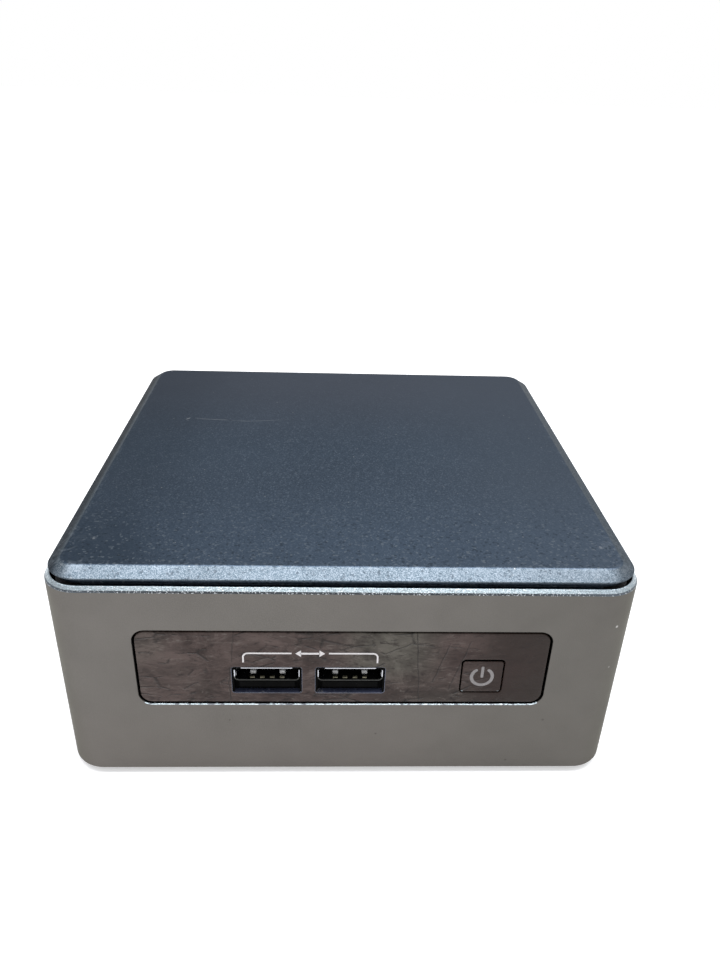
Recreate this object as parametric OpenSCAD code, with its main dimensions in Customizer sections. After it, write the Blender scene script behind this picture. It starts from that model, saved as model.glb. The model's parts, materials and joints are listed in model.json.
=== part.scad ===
// Small desktop computer: an aluminium sleeve with a painted lid, a glossy front
// panel, a board hung upside down under a top deck, a blower cooler above it and
// a removable bottom cover that carries a 2.5 inch drive.
// Millimetres, +Z up, front towards -Y, origin at the centre of the footprint.

/* [Case] */
// Width of the case, left to right
case_w = 115; // [115:1:118]
// Depth of the case, front to back
case_d = 111; // [111:1:114]
// Height from the feet to the top of the lid
case_h = 51; // [51:0.5:54]
// Thickness of the sleeve's walls
wall = 1.6; // [1.4:0.1:1.7]
// Radius of the sleeve's upright corners
corner_r = 7.5; // [7:0.5:8]
// Bevel round the sleeve's top rim
rim_bevel = 1.0; // [0.6:0.1:1.2]

/* [Lid] */
// How far the lid's edge stands in from the sleeve, front and back
lid_inset = 0.7; // [0.5:0.1:0.9]
// The same at the two sides
lid_side_inset = 1; // [0.7:0.1:1.2]
// Width of the lid's bevel, seen from above
lid_bevel = 2.8; // [2:0.1:3.5]
// Height of the lid's bevel
lid_bevel_h = 1.7; // [1.2:0.1:1.8]
// Open shadow gap between the lid and the rim
shadow_gap = 0.8; // [0.6:0.1:1]

/* [Front panel] */
// Width of the opening for the front panel
panel_w = 81.6; // [80:0.2:84]
// Height of the opening for the front panel
panel_h = 18.5; // [18:0.1:19.5]
// How far the panel sits back from the sleeve's face
panel_recess = 0.1; // [0.1:0.1:0.3]
// Gap round the panel
panel_gap = 0.35; // [0.2:0.05:0.5]
// Width of the power button
button_w = 8.1; // [7.5:0.1:8.6]
// Height of the power button
button_h = 8.0; // [7:0.1:8.2]
// Travel of the power button
button_travel = 0.7; // [0.4:0.1:0.7]

/* [Base] */
// Height of the rubber feet
foot_h = 1.5; // [1:0.1:1.5]
// Radius of the rubber feet
foot_r = 7; // [5.5:0.5:7]
// Distance between the two bracket screw holes
bracket_spacing = 50; // [40:5:60]

/* [Cooling] */
// Number of blades on the blower's impeller
blades = 23; // [15:2:29]
// Number of cooling fins
fins = 27; // [15:2:31]
// Number of slots in the rear vent
rear_slots = 23; // [15:2:23]
// Number of slots in each side vent
side_slots = 14; // [8:2:16]

/* [Hidden] */
$fn = 64;

// Heights of the main layers
rim_z = 47.9;
deck_z = 45.1;
deck_t = 1.4;
ledge_t = 1.2;
ledge_w = 3;
cover_z = foot_h;
cover_t = 1.2;
board_z = 28.3;
board_t = 1.6;
board_top = board_z + board_t;

// Sleeve
inner_w = case_w - 2 * wall;
inner_d = case_d - 2 * wall;
inner_r = corner_r - wall;
front_y = -case_d / 2;
rear_y = case_d / 2;
side_x = case_w / 2;
fit_gap = 0.3;
plate_w = inner_w - 2 * fit_gap;
plate_d = inner_d - 2 * fit_gap;
plate_r = inner_r - fit_gap;

// Corner posts, with the feet and the captive screws on the same centres
post_x = 48;
post_y = 46;
post_r = 3.8;
post_z = 3.3;
corners = [[-post_x, -post_y], [post_x, -post_y], [post_x, post_y], [-post_x, post_y]];
screw_names = ["captive_screw_front_left", "captive_screw_front_right",
               "captive_screw_rear_right", "captive_screw_rear_left"];

// Front panel
panel_z = 28.9;
panel_r = 2.6;
panel_t = 2.6;
panel_flange = 2;
panel_face = front_y + panel_recess;
panel_back = panel_face + panel_t;
wall_back = front_y + wall;

// Front ports and button
usb_x = [-15.2, 1.35];
usb_z = 25.44;
usb_w = 13.1;
usb_h = 5.7;
usb_metal = 0.3;
usb_face = panel_face + 0.2;
usb_len = 14;
usb_cut_w = 13.8;
usb_cut_h = 6.6;
usb_cut_z = 25.8;
tongue_w = 11.1;
tongue_t = 1.84;
tongue_drop = 0.11;
contact_x = [-3.5, -1, 1, 3.5];
button_x = 27.75;
button_z = 26.9;
button_gap = 0.3;
button_face = panel_face + 0.05;
switch_face = -48.85;
icon_r = 2.15;
icon_line = 0.62;
icon_depth = 0.4;

// Rear panel and ports, all hanging under the board
rear_open_w = 86.8;
rear_open_z = [10.4, 43.4];
rear_r = 2;
rear_recess = 0.6;
rear_face = rear_y - rear_recess;
rear_back = rear_face - 1.9;
port_gap = 0.25;
port_top = board_z - 0.1;
dc_x = 37.05;
dc_z = 22.4;
dc_w = 9.5;
dc_bore_r = 3.15;
dc_pin_r = 1.25;
dc_depth = 9.5;
hdmi_x = [21.5, 3];
hdmi_z = 25.1;
hdmi_w = 15;
hdmi_h = 5.8;
lan_x = -16;
lan_w = 16.2;
lan_h = 13.3;
lan_z = port_top - lan_h;
lan_len = 21.2;
lan_depth = 13;
stack_x = -34.5;
stack_w = 14.4;
stack_h = 15.3;
stack_z = port_top - stack_h;
stack_len = 17.7;
stack_ports = [24.4, 16.8];

// Board
board_w = 101.6;
notch_x = 43.4;
notch_y = 41.4;
board_holes = [[-48.4, -34], [48.4, -34], [48.4, 38], [-48.4, 38]];

// Cooler
cpu = [31, -5];
cpu_top = 31.2;
plate_t = 2;
cooler_screw = [13.4, 20];
pipe_z = cpu_top + plate_t;
pipe_w = 7;
pipe_h = 2.5;
pipe_end = -41;
fin_x = [-42, 14.5];
fin_y = [37, 51.5];
fin_z = [30.9, 43.2];
fin_t = 0.4;
fan_case = [-14.25, -4];
fan_case_r = 28.75;
fan_axis = [-15.5, -5.5];
fan_z = 31.4;
fan_top = 43.4;
fan_sheet = 0.8;
rotor_r = 24.5;
rotor_z = [33.2, 41.8];
hub_r = 11;
shaft_r = 1;

// Memory: two stacked modules, each held by two spring latches
ram_x = -14.5;
ram_w = 69.6;
ram_t = 1;
ram_depth = 30;
ram_slot = 2.8;
socket_w = 72.6;
low_slot = [19.2, 25.3];
high_slot = [26.2, 21.1];
latch_t = 0.7;
latch_gap = 0.45;
latch_names = ["memory_latch_low_left", "memory_latch_low_right",
               "memory_latch_high_left", "memory_latch_high_right"];

// Slot-in cards
card_x = 34.9;
card_w = 22;
card_t = 0.8;
ssd_z = 22.6;
ssd_y = [-41.8, 38.2];
wifi_z = 25.9;
wifi_y = [-4, 26];

// Drive bay
drive_x = [-54, 46.3];
drive_y = [-39.93, 29.92];
drive_z = [3.9, 10.9];
rail_gap = 0.37;
rail_t = 0.8;
drive_hole_x = [32.3, -44.3];
drive_hole_z = 6.9;

// Flat drive cable and its board header
cable_w = 18;
cable_t = 0.35;
header_x = 49.1;

// Coaxial antenna leads: hand-laid routes inside the case
coax_r = 0.55;
coax_right = [[40.9, 0.3, 24.3], [42.4, -1.2, 24.3], [44, -4.5, 24.6], [45.4, -9, 25],
              [47.3, -15, 25.6], [50.3, -19, 26.2], [52.6, -20.5, 28], [53.3, -21, 31],
              [53.3, -21.5, 36], [52.9, -22.5, 40.5], [50.8, -25.5, 42.7], [46, -28.3, 43.3],
              [39, -29.8, 43.4], [34.6, -32.6, 43.4], [33.2, -38, 43.5], [33, -43.6, 43.7]];
coax_left = [[28.9, 0.3, 24.3], [28, -1.8, 24.3], [27.2, -5, 24.7], [25, -9.4, 25.3],
             [20, -12.4, 25.7], [10, -13, 25.8], [0, -13, 25.8], [-10, -13, 25.8],
             [-20, -13, 25.8], [-30, -13, 25.8], [-40, -13, 25.8], [-46, -13.5, 25.9],
             [-50.5, -15.5, 26.3], [-52.6, -17, 28], [-53.3, -18, 31], [-53.3, -19, 36],
             [-52.9, -21.5, 40.5], [-50.8, -25.5, 42.7], [-46, -28.3, 43.3],
             [-39, -29.8, 43.4], [-34.6, -32.6, 43.4], [-33.2, -38, 43.5], [-33, -43.6, 43.7]];

// ---- Shapes used all over ----

// Rectangle with round corners, centred.
module rounded(w, d, r) {
    square([w - 2 * r, d], center = true);
    square([w, d - 2 * r], center = true);
    for (x = [-1, 1], y = [-1, 1])
        translate([x * (w / 2 - r), y * (d / 2 - r)]) circle(r);
}

// Straight-sided slab from z0 to z1 with round upright corners.
module slab(w, d, r, z0, z1) {
    translate([0, 0, z0]) linear_extrude(z1 - z0) rounded(w, d, r);
}

// Slab whose sides lean in by inset from z0 to z1.
module leaning_slab(w, d, r, inset, z0, z1) {
    h = z1 - z0;
    x = w / 2 - r;
    y = d / 2 - r;
    for (sx = [-1, 1], sy = [-1, 1])
        translate([sx * x, sy * y, z0]) cylinder(h = h, r1 = r, r2 = r - inset);
    along_x(-x, x)
        polygon([[-d / 2, z0], [d / 2, z0], [d / 2 - inset, z1], [-d / 2 + inset, z1]]);
    along_y(-y, y)
        polygon([[-w / 2, z0], [w / 2, z0], [w / 2 - inset, z1], [-w / 2 + inset, z1]]);
}

// A shape drawn in (y, z), extruded from x0 to x1.
module along_x(x0, x1) {
    translate([x0, 0, 0]) rotate([90, 0, 90]) linear_extrude(x1 - x0) children();
}

// A shape drawn in (x, z), extruded from y0 to y1.
module along_y(y0, y1) {
    translate([0, y1, 0]) rotate([90, 0, 0]) linear_extrude(y1 - y0) children();
}

// Box between two values on each axis.
module block(x, y, z) {
    translate([x[0], y[0], z[0]]) cube([x[1] - x[0], y[1] - y[0], z[1] - z[0]]);
}

// Upright rod at p, from z0 to z1.
module rod(p, r, z0, z1) {
    translate([p[0], p[1], z0]) cylinder(h = z1 - z0, r = r);
}

// Rod lying along Y.
module rod_y(x, z, r, y0, y1) {
    translate([x, y1, z]) rotate([90, 0, 0]) cylinder(h = y1 - y0, r = r);
}

// Part of a ring, from angle a0 to a1, less than half a turn.
module arc(r, t, a0, a1) {
    far = 4 * r;
    intersection() {
        difference() {
            circle(r + t / 2);
            circle(r - t / 2);
        }
        polygon([[0, 0], far * [cos(a0), sin(a0)],
                 far * [cos((a0 + a1) / 2), sin((a0 + a1) / 2)],
                 far * [cos(a1), sin(a1)]]);
    }
}

// Cross recess for a screw head, cut upwards from z.
module cross_recess(size, z, depth) {
    for (a = [0, 90])
        rotate([0, 0, a]) block([-size / 2, size / 2], [-size / 8, size / 8], [z, z + depth]);
}

// Unit vector along v.
function unit(v) = v / norm(v);

// Direction of a route at its point i.
function heading(route, i) =
    unit(route[min(i + 1, len(route) - 1)] - route[max(i - 1, 0)]);

// Side direction square to the heading, kept away from the route's own line.
function side_of(h) = unit(cross(h, abs(h[2]) > 0.8 ? [1, 0.3, 0] : [0, 0, 1]));

// Round tube swept along a route.
module tube(route, r, sides = 8) {
    n = len(route);
    rings = [for (i = [0 : n - 1]) let (h = heading(route, i), s = side_of(h), u = cross(s, h))
        for (k = [0 : sides - 1]) let (a = 360 * k / sides)
            route[i] + r * (cos(a) * s + sin(a) * u)];
    walls = [for (i = [0 : n - 2], k = [0 : sides - 1]) let (m = (k + 1) % sides)
        [i * sides + k, i * sides + m, (i + 1) * sides + m, (i + 1) * sides + k]];
    ends = [[for (k = [sides - 1 : -1 : 0]) k],
            [for (k = [0 : sides - 1]) (n - 1) * sides + k]];
    polyhedron(points = rings, faces = concat(walls, ends), convexity = 4);
}

// ---- Case ----

module lock_slot() {
    along_x(-side_x - 1, -side_x + wall + 1) translate([38, 12]) rounded(7, 3, 0.6);
}

module chassis_shell() color([0.36, 0.35, 0.34]) difference() {
    union() {
        difference() {
            union() {
                slab(case_w, case_d, corner_r, foot_h, rim_z - rim_bevel);
                leaning_slab(case_w, case_d, corner_r, rim_bevel, rim_z - rim_bevel, rim_z);
            }
            slab(inner_w, inner_d, inner_r, foot_h - 1, rim_z + 1);
        }
        // Ledge that carries the top deck
        difference() {
            slab(inner_w + wall, inner_d + wall, inner_r + wall / 2, deck_z - ledge_t, deck_z);
            slab(inner_w - 2 * ledge_w, inner_d - 2 * ledge_w, inner_r - ledge_w / 2,
                 deck_z - ledge_t - 1, deck_z + 1);
        }
        // Corner posts, ribbed to the walls
        for (sx = [-1, 1], sy = [-1, 1]) {
            rod([sx * post_x, sy * post_y], post_r, post_z, deck_z - ledge_t / 2);
            translate([sx * (post_x + inner_w / 2 + 0.5) / 2, sy * post_y, (post_z + deck_z) / 2 - 0.3])
                cube([inner_w / 2 + 0.5 - post_x, 1.6, deck_z - post_z - 0.6], center = true);
            translate([sx * post_x, sy * (post_y + inner_d / 2 + 0.5) / 2, (post_z + deck_z) / 2 - 0.3])
                cube([1.6, inner_d / 2 + 0.5 - post_y, deck_z - post_z - 0.6], center = true);
        }
    }
    for (c = corners) rod(c, 1.55, post_z - 1, 13);
    along_y(front_y - 1, wall_back + 0.01)
        translate([0, panel_z]) rounded(panel_w, panel_h, panel_r);
    along_y(rear_y - wall - 0.01, rear_y + 1)
        translate([0, (rear_open_z[0] + rear_open_z[1]) / 2])
            rounded(rear_open_w, rear_open_z[1] - rear_open_z[0], rear_r);
    for (s = [-1, 1], i = [0 : side_slots - 1])
        along_x(s * side_x - wall - 0.1, s * side_x + wall + 0.1)
            translate([(i - (side_slots - 1) / 2) * 4.4, 37]) rounded(2, 9, 0.98);
    for (sx = [-1, 1], y = [-20, 20]) rod([sx * 53.9, y], 0.8, 43, 46);
    lock_slot();
}

module top_deck() color([0.08, 0.08, 0.09]) difference() {
    slab(plate_w, plate_d, plate_r, deck_z, deck_z + deck_t);
    // Intake grille above the blower
    translate([fan_axis[0], fan_axis[1], deck_z - 1]) linear_extrude(deck_t + 2) difference() {
        for (r = [6 : 3.6 : 24]) difference() {
            circle(r + 2.2);
            circle(r);
        }
        for (a = [0 : 60 : 120]) rotate(a) square([60, 2.4], center = true);
    }
    for (x = [-40, 40], y = [-38, 38]) rod([x, y], 3.2, deck_z - 1, deck_z + deck_t + 1);
    for (sx = [-1, 1], y = [-20, 20]) translate([sx * 53.9, y, 0]) {
        rod([0, 0], 0.8, deck_z - 1, deck_z + 1);
        translate([0, 0, deck_z + deck_t - 0.8]) cylinder(h = 0.8, r1 = 0.8, r2 = 1.4);
    }
}

module deck_screws() color([0.2, 0.2, 0.22])
    for (sx = [-1, 1], y = [-20, 20]) translate([sx * 53.9, y, 0]) difference() {
        union() {
            rod([0, 0], 0.8, 43.2, deck_z + deck_t - 0.7);
            translate([0, 0, deck_z + deck_t - 0.8]) cylinder(h = 0.8, r1 = 0.8, r2 = 1.4);
        }
        cross_recess(1.4, deck_z + deck_t - 0.5, 1);
    }

module lid_grommets() color([0.05, 0.05, 0.05])
    for (x = [-40, 40], y = [-38, 38]) translate([x, y, 0]) difference() {
        union() {
            rod([0, 0], 4.2, deck_z - 0.6, deck_z);
            rod([0, 0], 3.2, deck_z - 0.3, deck_z + deck_t);
        }
        rod([0, 0], 2.05, deck_z - 1, deck_z + deck_t + 1);
    }

module top_lid() color([0.22, 0.27, 0.32]) {
    lid_w = case_w - 2 * lid_side_inset;
    lid_d = case_d - 2 * lid_inset;
    lid_r = corner_r - lid_inset;
    bevel_z = case_h - lid_bevel_h;
    flange_z = rim_z + shadow_gap;
    skirt_z = deck_z + deck_t + 0.1;
    difference() {
        union() {
            leaning_slab(lid_w, lid_d, lid_r, lid_bevel, bevel_z, case_h);
            slab(lid_w, lid_d, lid_r, flange_z, bevel_z);
            slab(plate_w, plate_d, plate_r, skirt_z, flange_z + 0.2);
        }
        slab(plate_w - 3, plate_d - 3, plate_r - 1.5, skirt_z - 1, flange_z + 0.3);
        // Air notches in the skirt, at the sides and the back
        for (y = [-36 : 12 : 36])
            block([-side_x, side_x], [y - 4, y + 4], [skirt_z - 1, skirt_z + 1.2]);
        for (x = [-36 : 12 : 36])
            block([x - 4, x + 4], [0, rear_y], [skirt_z - 1, skirt_z + 1.2]);
    }
    for (x = [-40, 40], y = [-38, 38]) {
        rod([x, y], 2, 44.2, flange_z + 0.8);
        rod([x, y], 3.6, deck_z + deck_t + 0.4, flange_z + 0.8);
    }
}

module bottom_cover() color([0.1, 0.1, 0.11]) difference() {
    union() {
        slab(plate_w, plate_d, plate_r, cover_z, cover_z + cover_t);
        for (s = [-1, 1]) rod([s * bracket_spacing / 2, 0], 2.8, cover_z, cover_z + cover_t + 0.9);
        // Stiffening rim along the front and the back
        for (s = [-1, 1])
            block([-40, 40], [s * 52.5 - 0.5, s * 52.5 + 0.5], [cover_z + 0.5, cover_z + 4]);
    }
    for (c = corners) rod(c, 1.8, cover_z - 1, cover_z + cover_t + 1);
    for (s = [-1, 1]) rod([s * bracket_spacing / 2, 0], 1.25, cover_z - 1, cover_z + cover_t + 2);
    for (x = [-33 : 6 : 33], y = [-25, 16])
        translate([x, y, cover_z - 1]) linear_extrude(cover_t + 2) rounded(2.4, 14, 1.19);
    for (x = [-33 : 6 : 33])
        translate([x, 40, cover_z - 1]) linear_extrude(cover_t + 2) rounded(2.4, 10, 1.19);
}

module rubber_feet() color([0.04, 0.04, 0.04])
    for (c = corners) translate([c[0], c[1], 0]) difference() {
        union() {
            cylinder(h = 0.4, r1 = foot_r - 0.4, r2 = foot_r);
            rod([0, 0], foot_r, 0.4, foot_h);
        }
        rod([0, 0], 3.3, -1, foot_h + 1);
    }

// Captive screw: its head sits in the foot and its shank runs up into a post.
module captive_screw(c) color([0.55, 0.55, 0.57]) translate([c[0], c[1], 0]) difference() {
    union() {
        rod([0, 0], 2.9, 0.35, cover_z);
        rod([0, 0], 1.45, cover_z - 0.2, 11);
        rod([0, 0], 2.6, cover_z + cover_t + 0.1, cover_z + cover_t + 0.4);
    }
    cross_recess(3.4, 0.25, 0.9);
}

// ---- Front panel, button and ports ----

module front_bezel() color([0.03, 0.03, 0.03]) difference() {
    union() {
        along_y(panel_face, panel_back) translate([0, panel_z])
            rounded(panel_w - 2 * panel_gap, panel_h - 2 * panel_gap, panel_r - panel_gap);
        along_y(wall_back + 0.1, panel_back) translate([0, panel_z])
            rounded(panel_w + 2 * panel_flange, panel_h + 2 * panel_flange, panel_r);
    }
    along_y(panel_face - 1, panel_back + 1) {
        for (x = usb_x) translate([x, usb_cut_z]) rounded(usb_cut_w, usb_cut_h, 0.5);
        translate([button_x, button_z])
            rounded(button_w + 2 * button_gap, button_h + 2 * button_gap, 0.9);
    }
}

// Standby symbol: an open ring with an upright bar.
module icon_shape() {
    translate([button_x, button_z - 0.1]) {
        arc(icon_r, icon_line, 120, 240);
        arc(icon_r, icon_line, 180, 300);
        arc(icon_r, icon_line, 240, 360);
        arc(icon_r, icon_line, -60, 60);
        translate([-icon_line / 2, -0.25]) square([icon_line, 2.9]);
    }
}

module power_button() color([0.03, 0.03, 0.03]) difference() {
    union() {
        along_y(button_face, panel_back + 0.5)
            translate([button_x, button_z]) rounded(button_w, button_h, 0.6);
        along_y(panel_back + 0.15, panel_back + 1)
            translate([button_x, button_z]) rounded(button_w + 2, button_h + 2, 0.6);
        rod_y(button_x, button_z, 1.3, panel_back + 0.5, switch_face - button_travel - 0.1);
    }
    along_y(button_face - 1, button_face + icon_depth) icon_shape();
}

module power_icon() color([0.75, 0.75, 0.75])
    along_y(button_face, button_face + icon_depth) icon_shape();

module power_switch() color([0.1, 0.1, 0.1]) {
    block([button_x - 3, button_x + 3], [-48, -44.5], [24.3, board_z]);
    rod_y(button_x, button_z, 1, switch_face, -47.5);
}

module usb_shell_front(x) color([0.6, 0.6, 0.62]) difference() {
    union() {
        along_y(usb_face, usb_face + usb_len)
            translate([x, usb_z]) rounded(usb_w, usb_h, 0.6);
        // Legs up to the board
        for (s = [-1, 1], y = [-49, -43])
            block([x + s * 6.3 - 0.25, x + s * 6.3 + 0.25], [y - 0.9, y + 0.9], [usb_z, board_z]);
    }
    along_y(usb_face - 1, usb_face + usb_len + 1)
        translate([x, usb_z]) rounded(usb_w - 2 * usb_metal, usb_h - 2 * usb_metal, 0.35);
    // Spring windows in the top wall
    for (s = [-1, 1]) block([x + s * 3 - 1.1, x + s * 3 + 1.1], [-49, -44], [usb_z + 2, usb_z + 4]);
}

// Plastic tongue of a port that hangs upside down: contacts face up.
module usb_tongue(x, z, y_tip, y_base) {
    w = tongue_w / 2;
    tongue = [z - tongue_drop - tongue_t, z - tongue_drop];
    block([x - w, x + w], [min(y_tip, y_base), max(y_tip, y_base)], tongue);
}

module usb_tongues_front() color([0.02, 0.02, 0.02])
    for (x = usb_x) {
        usb_tongue(x, usb_z, usb_face + 0.3, usb_face + usb_len - 1);
        along_y(usb_face + 10.5, usb_face + usb_len - 0.2)
            translate([x, usb_z]) rounded(usb_w - 2 * usb_metal - 0.1, usb_h - 2 * usb_metal - 0.1, 0.3);
    }

// Sprung contact: a strip with a hump near its tip, and a pad in front of it.
module usb_contact(x, z, y_tip, way) {
    top = z - tongue_drop;
    pad = [y_tip + way * 0.4, y_tip + way * 1.2];
    strip = [y_tip + way * 1.7, y_tip + way * 9];
    block([x - 0.45, x + 0.45], [min(pad), max(pad)], [top, top + 0.1]);
    block([x - 0.4, x + 0.4], [min(strip), max(strip)], [top, top + 0.15]);
    intersection() {
        translate([x, y_tip + way * 2.4, top]) rotate([0, 90, 0])
            cylinder(h = 1.1, r = 0.6, center = true);
        block([x - 1, x + 1], [y_tip + way * 2.4 - 1, y_tip + way * 2.4 + 1], [top, top + 1]);
    }
}

module port_contacts() color([0.83, 0.68, 0.38]) {
    for (x = usb_x, c = contact_x) usb_contact(x + c, usb_z, usb_face + 0.3, 1);
    for (z = stack_ports, c = contact_x) usb_contact(stack_x + c, z, rear_face - 0.5, -1);
    // Eight sprung wires on the floor of the network socket
    for (i = [0 : 7])
        translate([lan_x + (i - 3.5) * 1.02, 0, 0]) along_x(-0.2, 0.2)
            polygon([[44, lan_z + 2.3], [51.8, lan_z + 2.3], [51.8, lan_z + 2.7],
                     [45, lan_z + 3.9], [44, lan_z + 3.9]]);
}

// ---- Rear panel and ports ----

module hdmi_outline(grow) {
    w = hdmi_w / 2 + grow;
    h = hdmi_h / 2 + grow;
    polygon([[-w, -h], [w, -h], [w, h - 2], [w - 1.7, h], [-w + 1.7, h], [-w, h - 2]]);
}

module rear_panel() color([0.06, 0.06, 0.065]) {
    mid = (rear_open_z[0] + rear_open_z[1]) / 2;
    high = rear_open_z[1] - rear_open_z[0];
    difference() {
        union() {
            along_y(rear_back, rear_face) translate([0, mid])
                rounded(rear_open_w - 2 * panel_gap, high - 2 * panel_gap, rear_r - panel_gap);
            along_y(rear_back, rear_y - wall - 0.1) translate([0, mid - 0.6])
                rounded(rear_open_w + 3, high + 1.8, rear_r);
        }
        along_y(rear_back - 1, rear_face + 1) {
            for (i = [0 : rear_slots - 1])
                translate([(i - (rear_slots - 1) / 2) * 3.4, 36.6]) rounded(2, 9.6, 0.98);
            translate([dc_x, (17.2 + port_top) / 2])
                square([dc_w + 2 * port_gap, port_top - 17.2 + 2 * port_gap], center = true);
            for (x = hdmi_x) translate([x, hdmi_z]) hdmi_outline(port_gap);
            translate([lan_x, lan_z + lan_h / 2])
                square([lan_w + 2 * port_gap, lan_h + 2 * port_gap], center = true);
            translate([stack_x, stack_z + stack_h / 2])
                square([stack_w + 2 * port_gap, stack_h + 2 * port_gap], center = true);
        }
    }
}

module dc_jack() color([0.04, 0.04, 0.04]) difference() {
    block([dc_x - dc_w / 2, dc_x + dc_w / 2], [41.5, rear_face], [17.2, port_top]);
    rod_y(dc_x, dc_z, dc_bore_r, rear_face - dc_depth, rear_face + 1);
}

module dc_jack_pin() color([0.75, 0.75, 0.76]) {
    rod_y(dc_x, dc_z, dc_pin_r, rear_face - dc_depth, rear_face - 1.2);
    translate([dc_x, rear_face - 1.2, dc_z]) rotate([-90, 0, 0])
        cylinder(h = 0.4, r1 = dc_pin_r, r2 = dc_pin_r - 0.35);
}

module hdmi_shells() color([0.6, 0.6, 0.62])
    for (x = hdmi_x) difference() {
        along_y(43.2, rear_face) translate([x, hdmi_z]) hdmi_outline(0);
        along_y(44, rear_face + 1) translate([x, hdmi_z]) hdmi_outline(-0.35);
    }

module rear_port_tongues() color([0.02, 0.02, 0.02]) {
    for (x = hdmi_x) block([x - 5.8, x + 5.8], [44, rear_face - 0.8], [hdmi_z - 0.9, hdmi_z + 0.3]);
    for (z = stack_ports) {
        usb_tongue(stack_x, z, rear_face - 0.5, 41);
        block([stack_x - 6.1, stack_x + 6.1], [38.2, 41.5], [z - 2.4, z + 2.4]);
    }
}

module ethernet_jack() color([0.62, 0.62, 0.63]) difference() {
    block([lan_x - lan_w / 2, lan_x + lan_w / 2], [rear_face - lan_len, rear_face],
          [lan_z, port_top]);
    along_y(rear_face - lan_depth, rear_face + 1) translate([lan_x, lan_z]) {
        translate([-5.9, 2.3]) square([11.8, 6.7]);
        translate([-3.1, 8.9]) square([6.2, 2]);
        translate([-1.7, 10.8]) square([3.4, 1.2]);
    }
}

module usb_shell_rear() color([0.6, 0.6, 0.62]) difference() {
    block([stack_x - stack_w / 2, stack_x + stack_w / 2], [rear_face - stack_len, rear_face],
          [stack_z, port_top]);
    along_y(38.2, rear_face + 1)
        for (z = stack_ports) translate([stack_x, z]) rounded(12.5, 5.12, 0.35);
}

// ---- Board and its cards ----

module motherboard() color([0.05, 0.22, 0.14]) difference() {
    block([-board_w / 2, board_w / 2], [-board_w / 2, board_w / 2], [board_z, board_top]);
    for (sx = [-1, 1], sy = [-1, 1])
        translate([sx * (notch_x + 10), sy * (notch_y + 10), board_z + board_t / 2])
            cube([20, 20, 4], center = true);
    for (p = board_holes) rod(p, 1.35, board_z - 1, board_top + 1);
    for (sx = [-1, 1], sy = [-1, 1])
        rod([cpu[0] + sx * cooler_screw[0], cpu[1] + sy * cooler_screw[1]], 1.0,
            board_z - 1, board_top + 1);
}

module board_standoffs() color([0.72, 0.6, 0.35])
    for (p = board_holes) difference() {
        translate([p[0], p[1], board_top]) cylinder(h = deck_z - board_top, r = 2.4, $fn = 6);
        rod(p, 1.2, board_top - 1, board_top + 6);
    }

module board_screws() color([0.6, 0.6, 0.62])
    for (p = board_holes) translate([p[0], p[1], 0]) difference() {
        union() {
            rod([0, 0], 2.2, board_z - 1.4, board_z);
            rod([0, 0], 1.2, board_z - 0.2, board_top + 5);
        }
        cross_recess(2.4, board_z - 1.5, 0.8);
    }

// Box-shaped part soldered to the board; top parts stand up and the others hang down.
module chip(x, y, w, d, h, top = true) {
    z = top ? [board_top, board_top + h] : [board_z - h, board_z];
    block([x - w / 2, x + w / 2], [y - d / 2, y + d / 2], z);
}

module board_chips() color([0.07, 0.07, 0.08]) {
    for (x = [18, 26, 34, 42]) chip(x, -39, 6.4, 6.4, 3);
    for (x = [-36 : 9 : 0]) chip(x, -44, 5, 4, 1);
    for (y = [-20 : 10 : 20]) chip(-46.5, y, 3.2, 6, 1.2);
    for (x = [-30, -12]) chip(x, -22, 7, 7, 1);
    chip(-4, 10, 9, 9, 1.1);
    for (p = [[-12, -30], [2, -30], [12, -26]]) chip(p[0], p[1], 6, 5, 1, false);
    chip(16, -36, 7, 7, 0.9, false);
    chip(-35, -44.5, 8, 3, 2, false);
    for (x = [22, 25.5, 29]) rod([x, 44], 1.5, board_top, board_top + 3);
    for (x = [-6 : 3 : 6]) chip(x, 36, 1.6, 0.8, 0.7, false);
}

module cpu_package() color([0.1, 0.3, 0.18]) {
    block([cpu[0] - 11.9, cpu[0] + 11.9], [cpu[1] - 21, cpu[1] + 21], [board_top, 30.8]);
    block([cpu[0] - 4.5, cpu[0] + 4.5], [cpu[1] - 15, cpu[1] - 2], [30.7, cpu_top]);
    block([cpu[0] - 4, cpu[0] + 4], [cpu[1] + 4, cpu[1] + 14], [30.7, cpu_top]);
}

module coin_cell() color([0.7, 0.7, 0.7]) {
    rod([-35, -28], 10, board_z - 3.2, board_z - 0.8);
    difference() {
        rod([-35, -28], 10.6, board_z - 0.8, board_z);
        rod([-35, -28], 6, board_z - 2, board_z + 1);
    }
}

module memory_socket(slot) color([0.05, 0.05, 0.05]) {
    y = slot[0];
    z = slot[1];
    difference() {
        block([ram_x - socket_w / 2, ram_x + socket_w / 2], [y, y + 6.2], [z - 1, board_z]);
        block([ram_x - ram_w / 2 - 0.1, ram_x + ram_w / 2 + 0.1], [y - 1, y + ram_slot + 0.2],
              [z - 0.1, z + ram_t + 0.1]);
    }
}

module memory_module(slot) color([0.06, 0.28, 0.14]) {
    y1 = slot[0] + ram_slot;
    y0 = y1 - ram_depth;
    z = slot[1];
    difference() {
        block([ram_x - ram_w / 2, ram_x + ram_w / 2], [y0, y1], [z, z + ram_t]);
        for (s = [-1, 1]) rod([ram_x + s * ram_w / 2, y0 + 5.4], 1.8, z - 1, z + ram_t + 1);
        block([ram_x + 5, ram_x + 6.4], [y1 - 3.5, y1 + 1], [z - 1, z + ram_t + 1]);
    }
    for (i = [-1.5 : 1 : 1.5])
        block([ram_x + i * 16 - 6.5, ram_x + i * 16 + 6.5], [y0 + 8, y0 + 18],
              [z - 1, z + ram_t + 1]);
}

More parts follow.
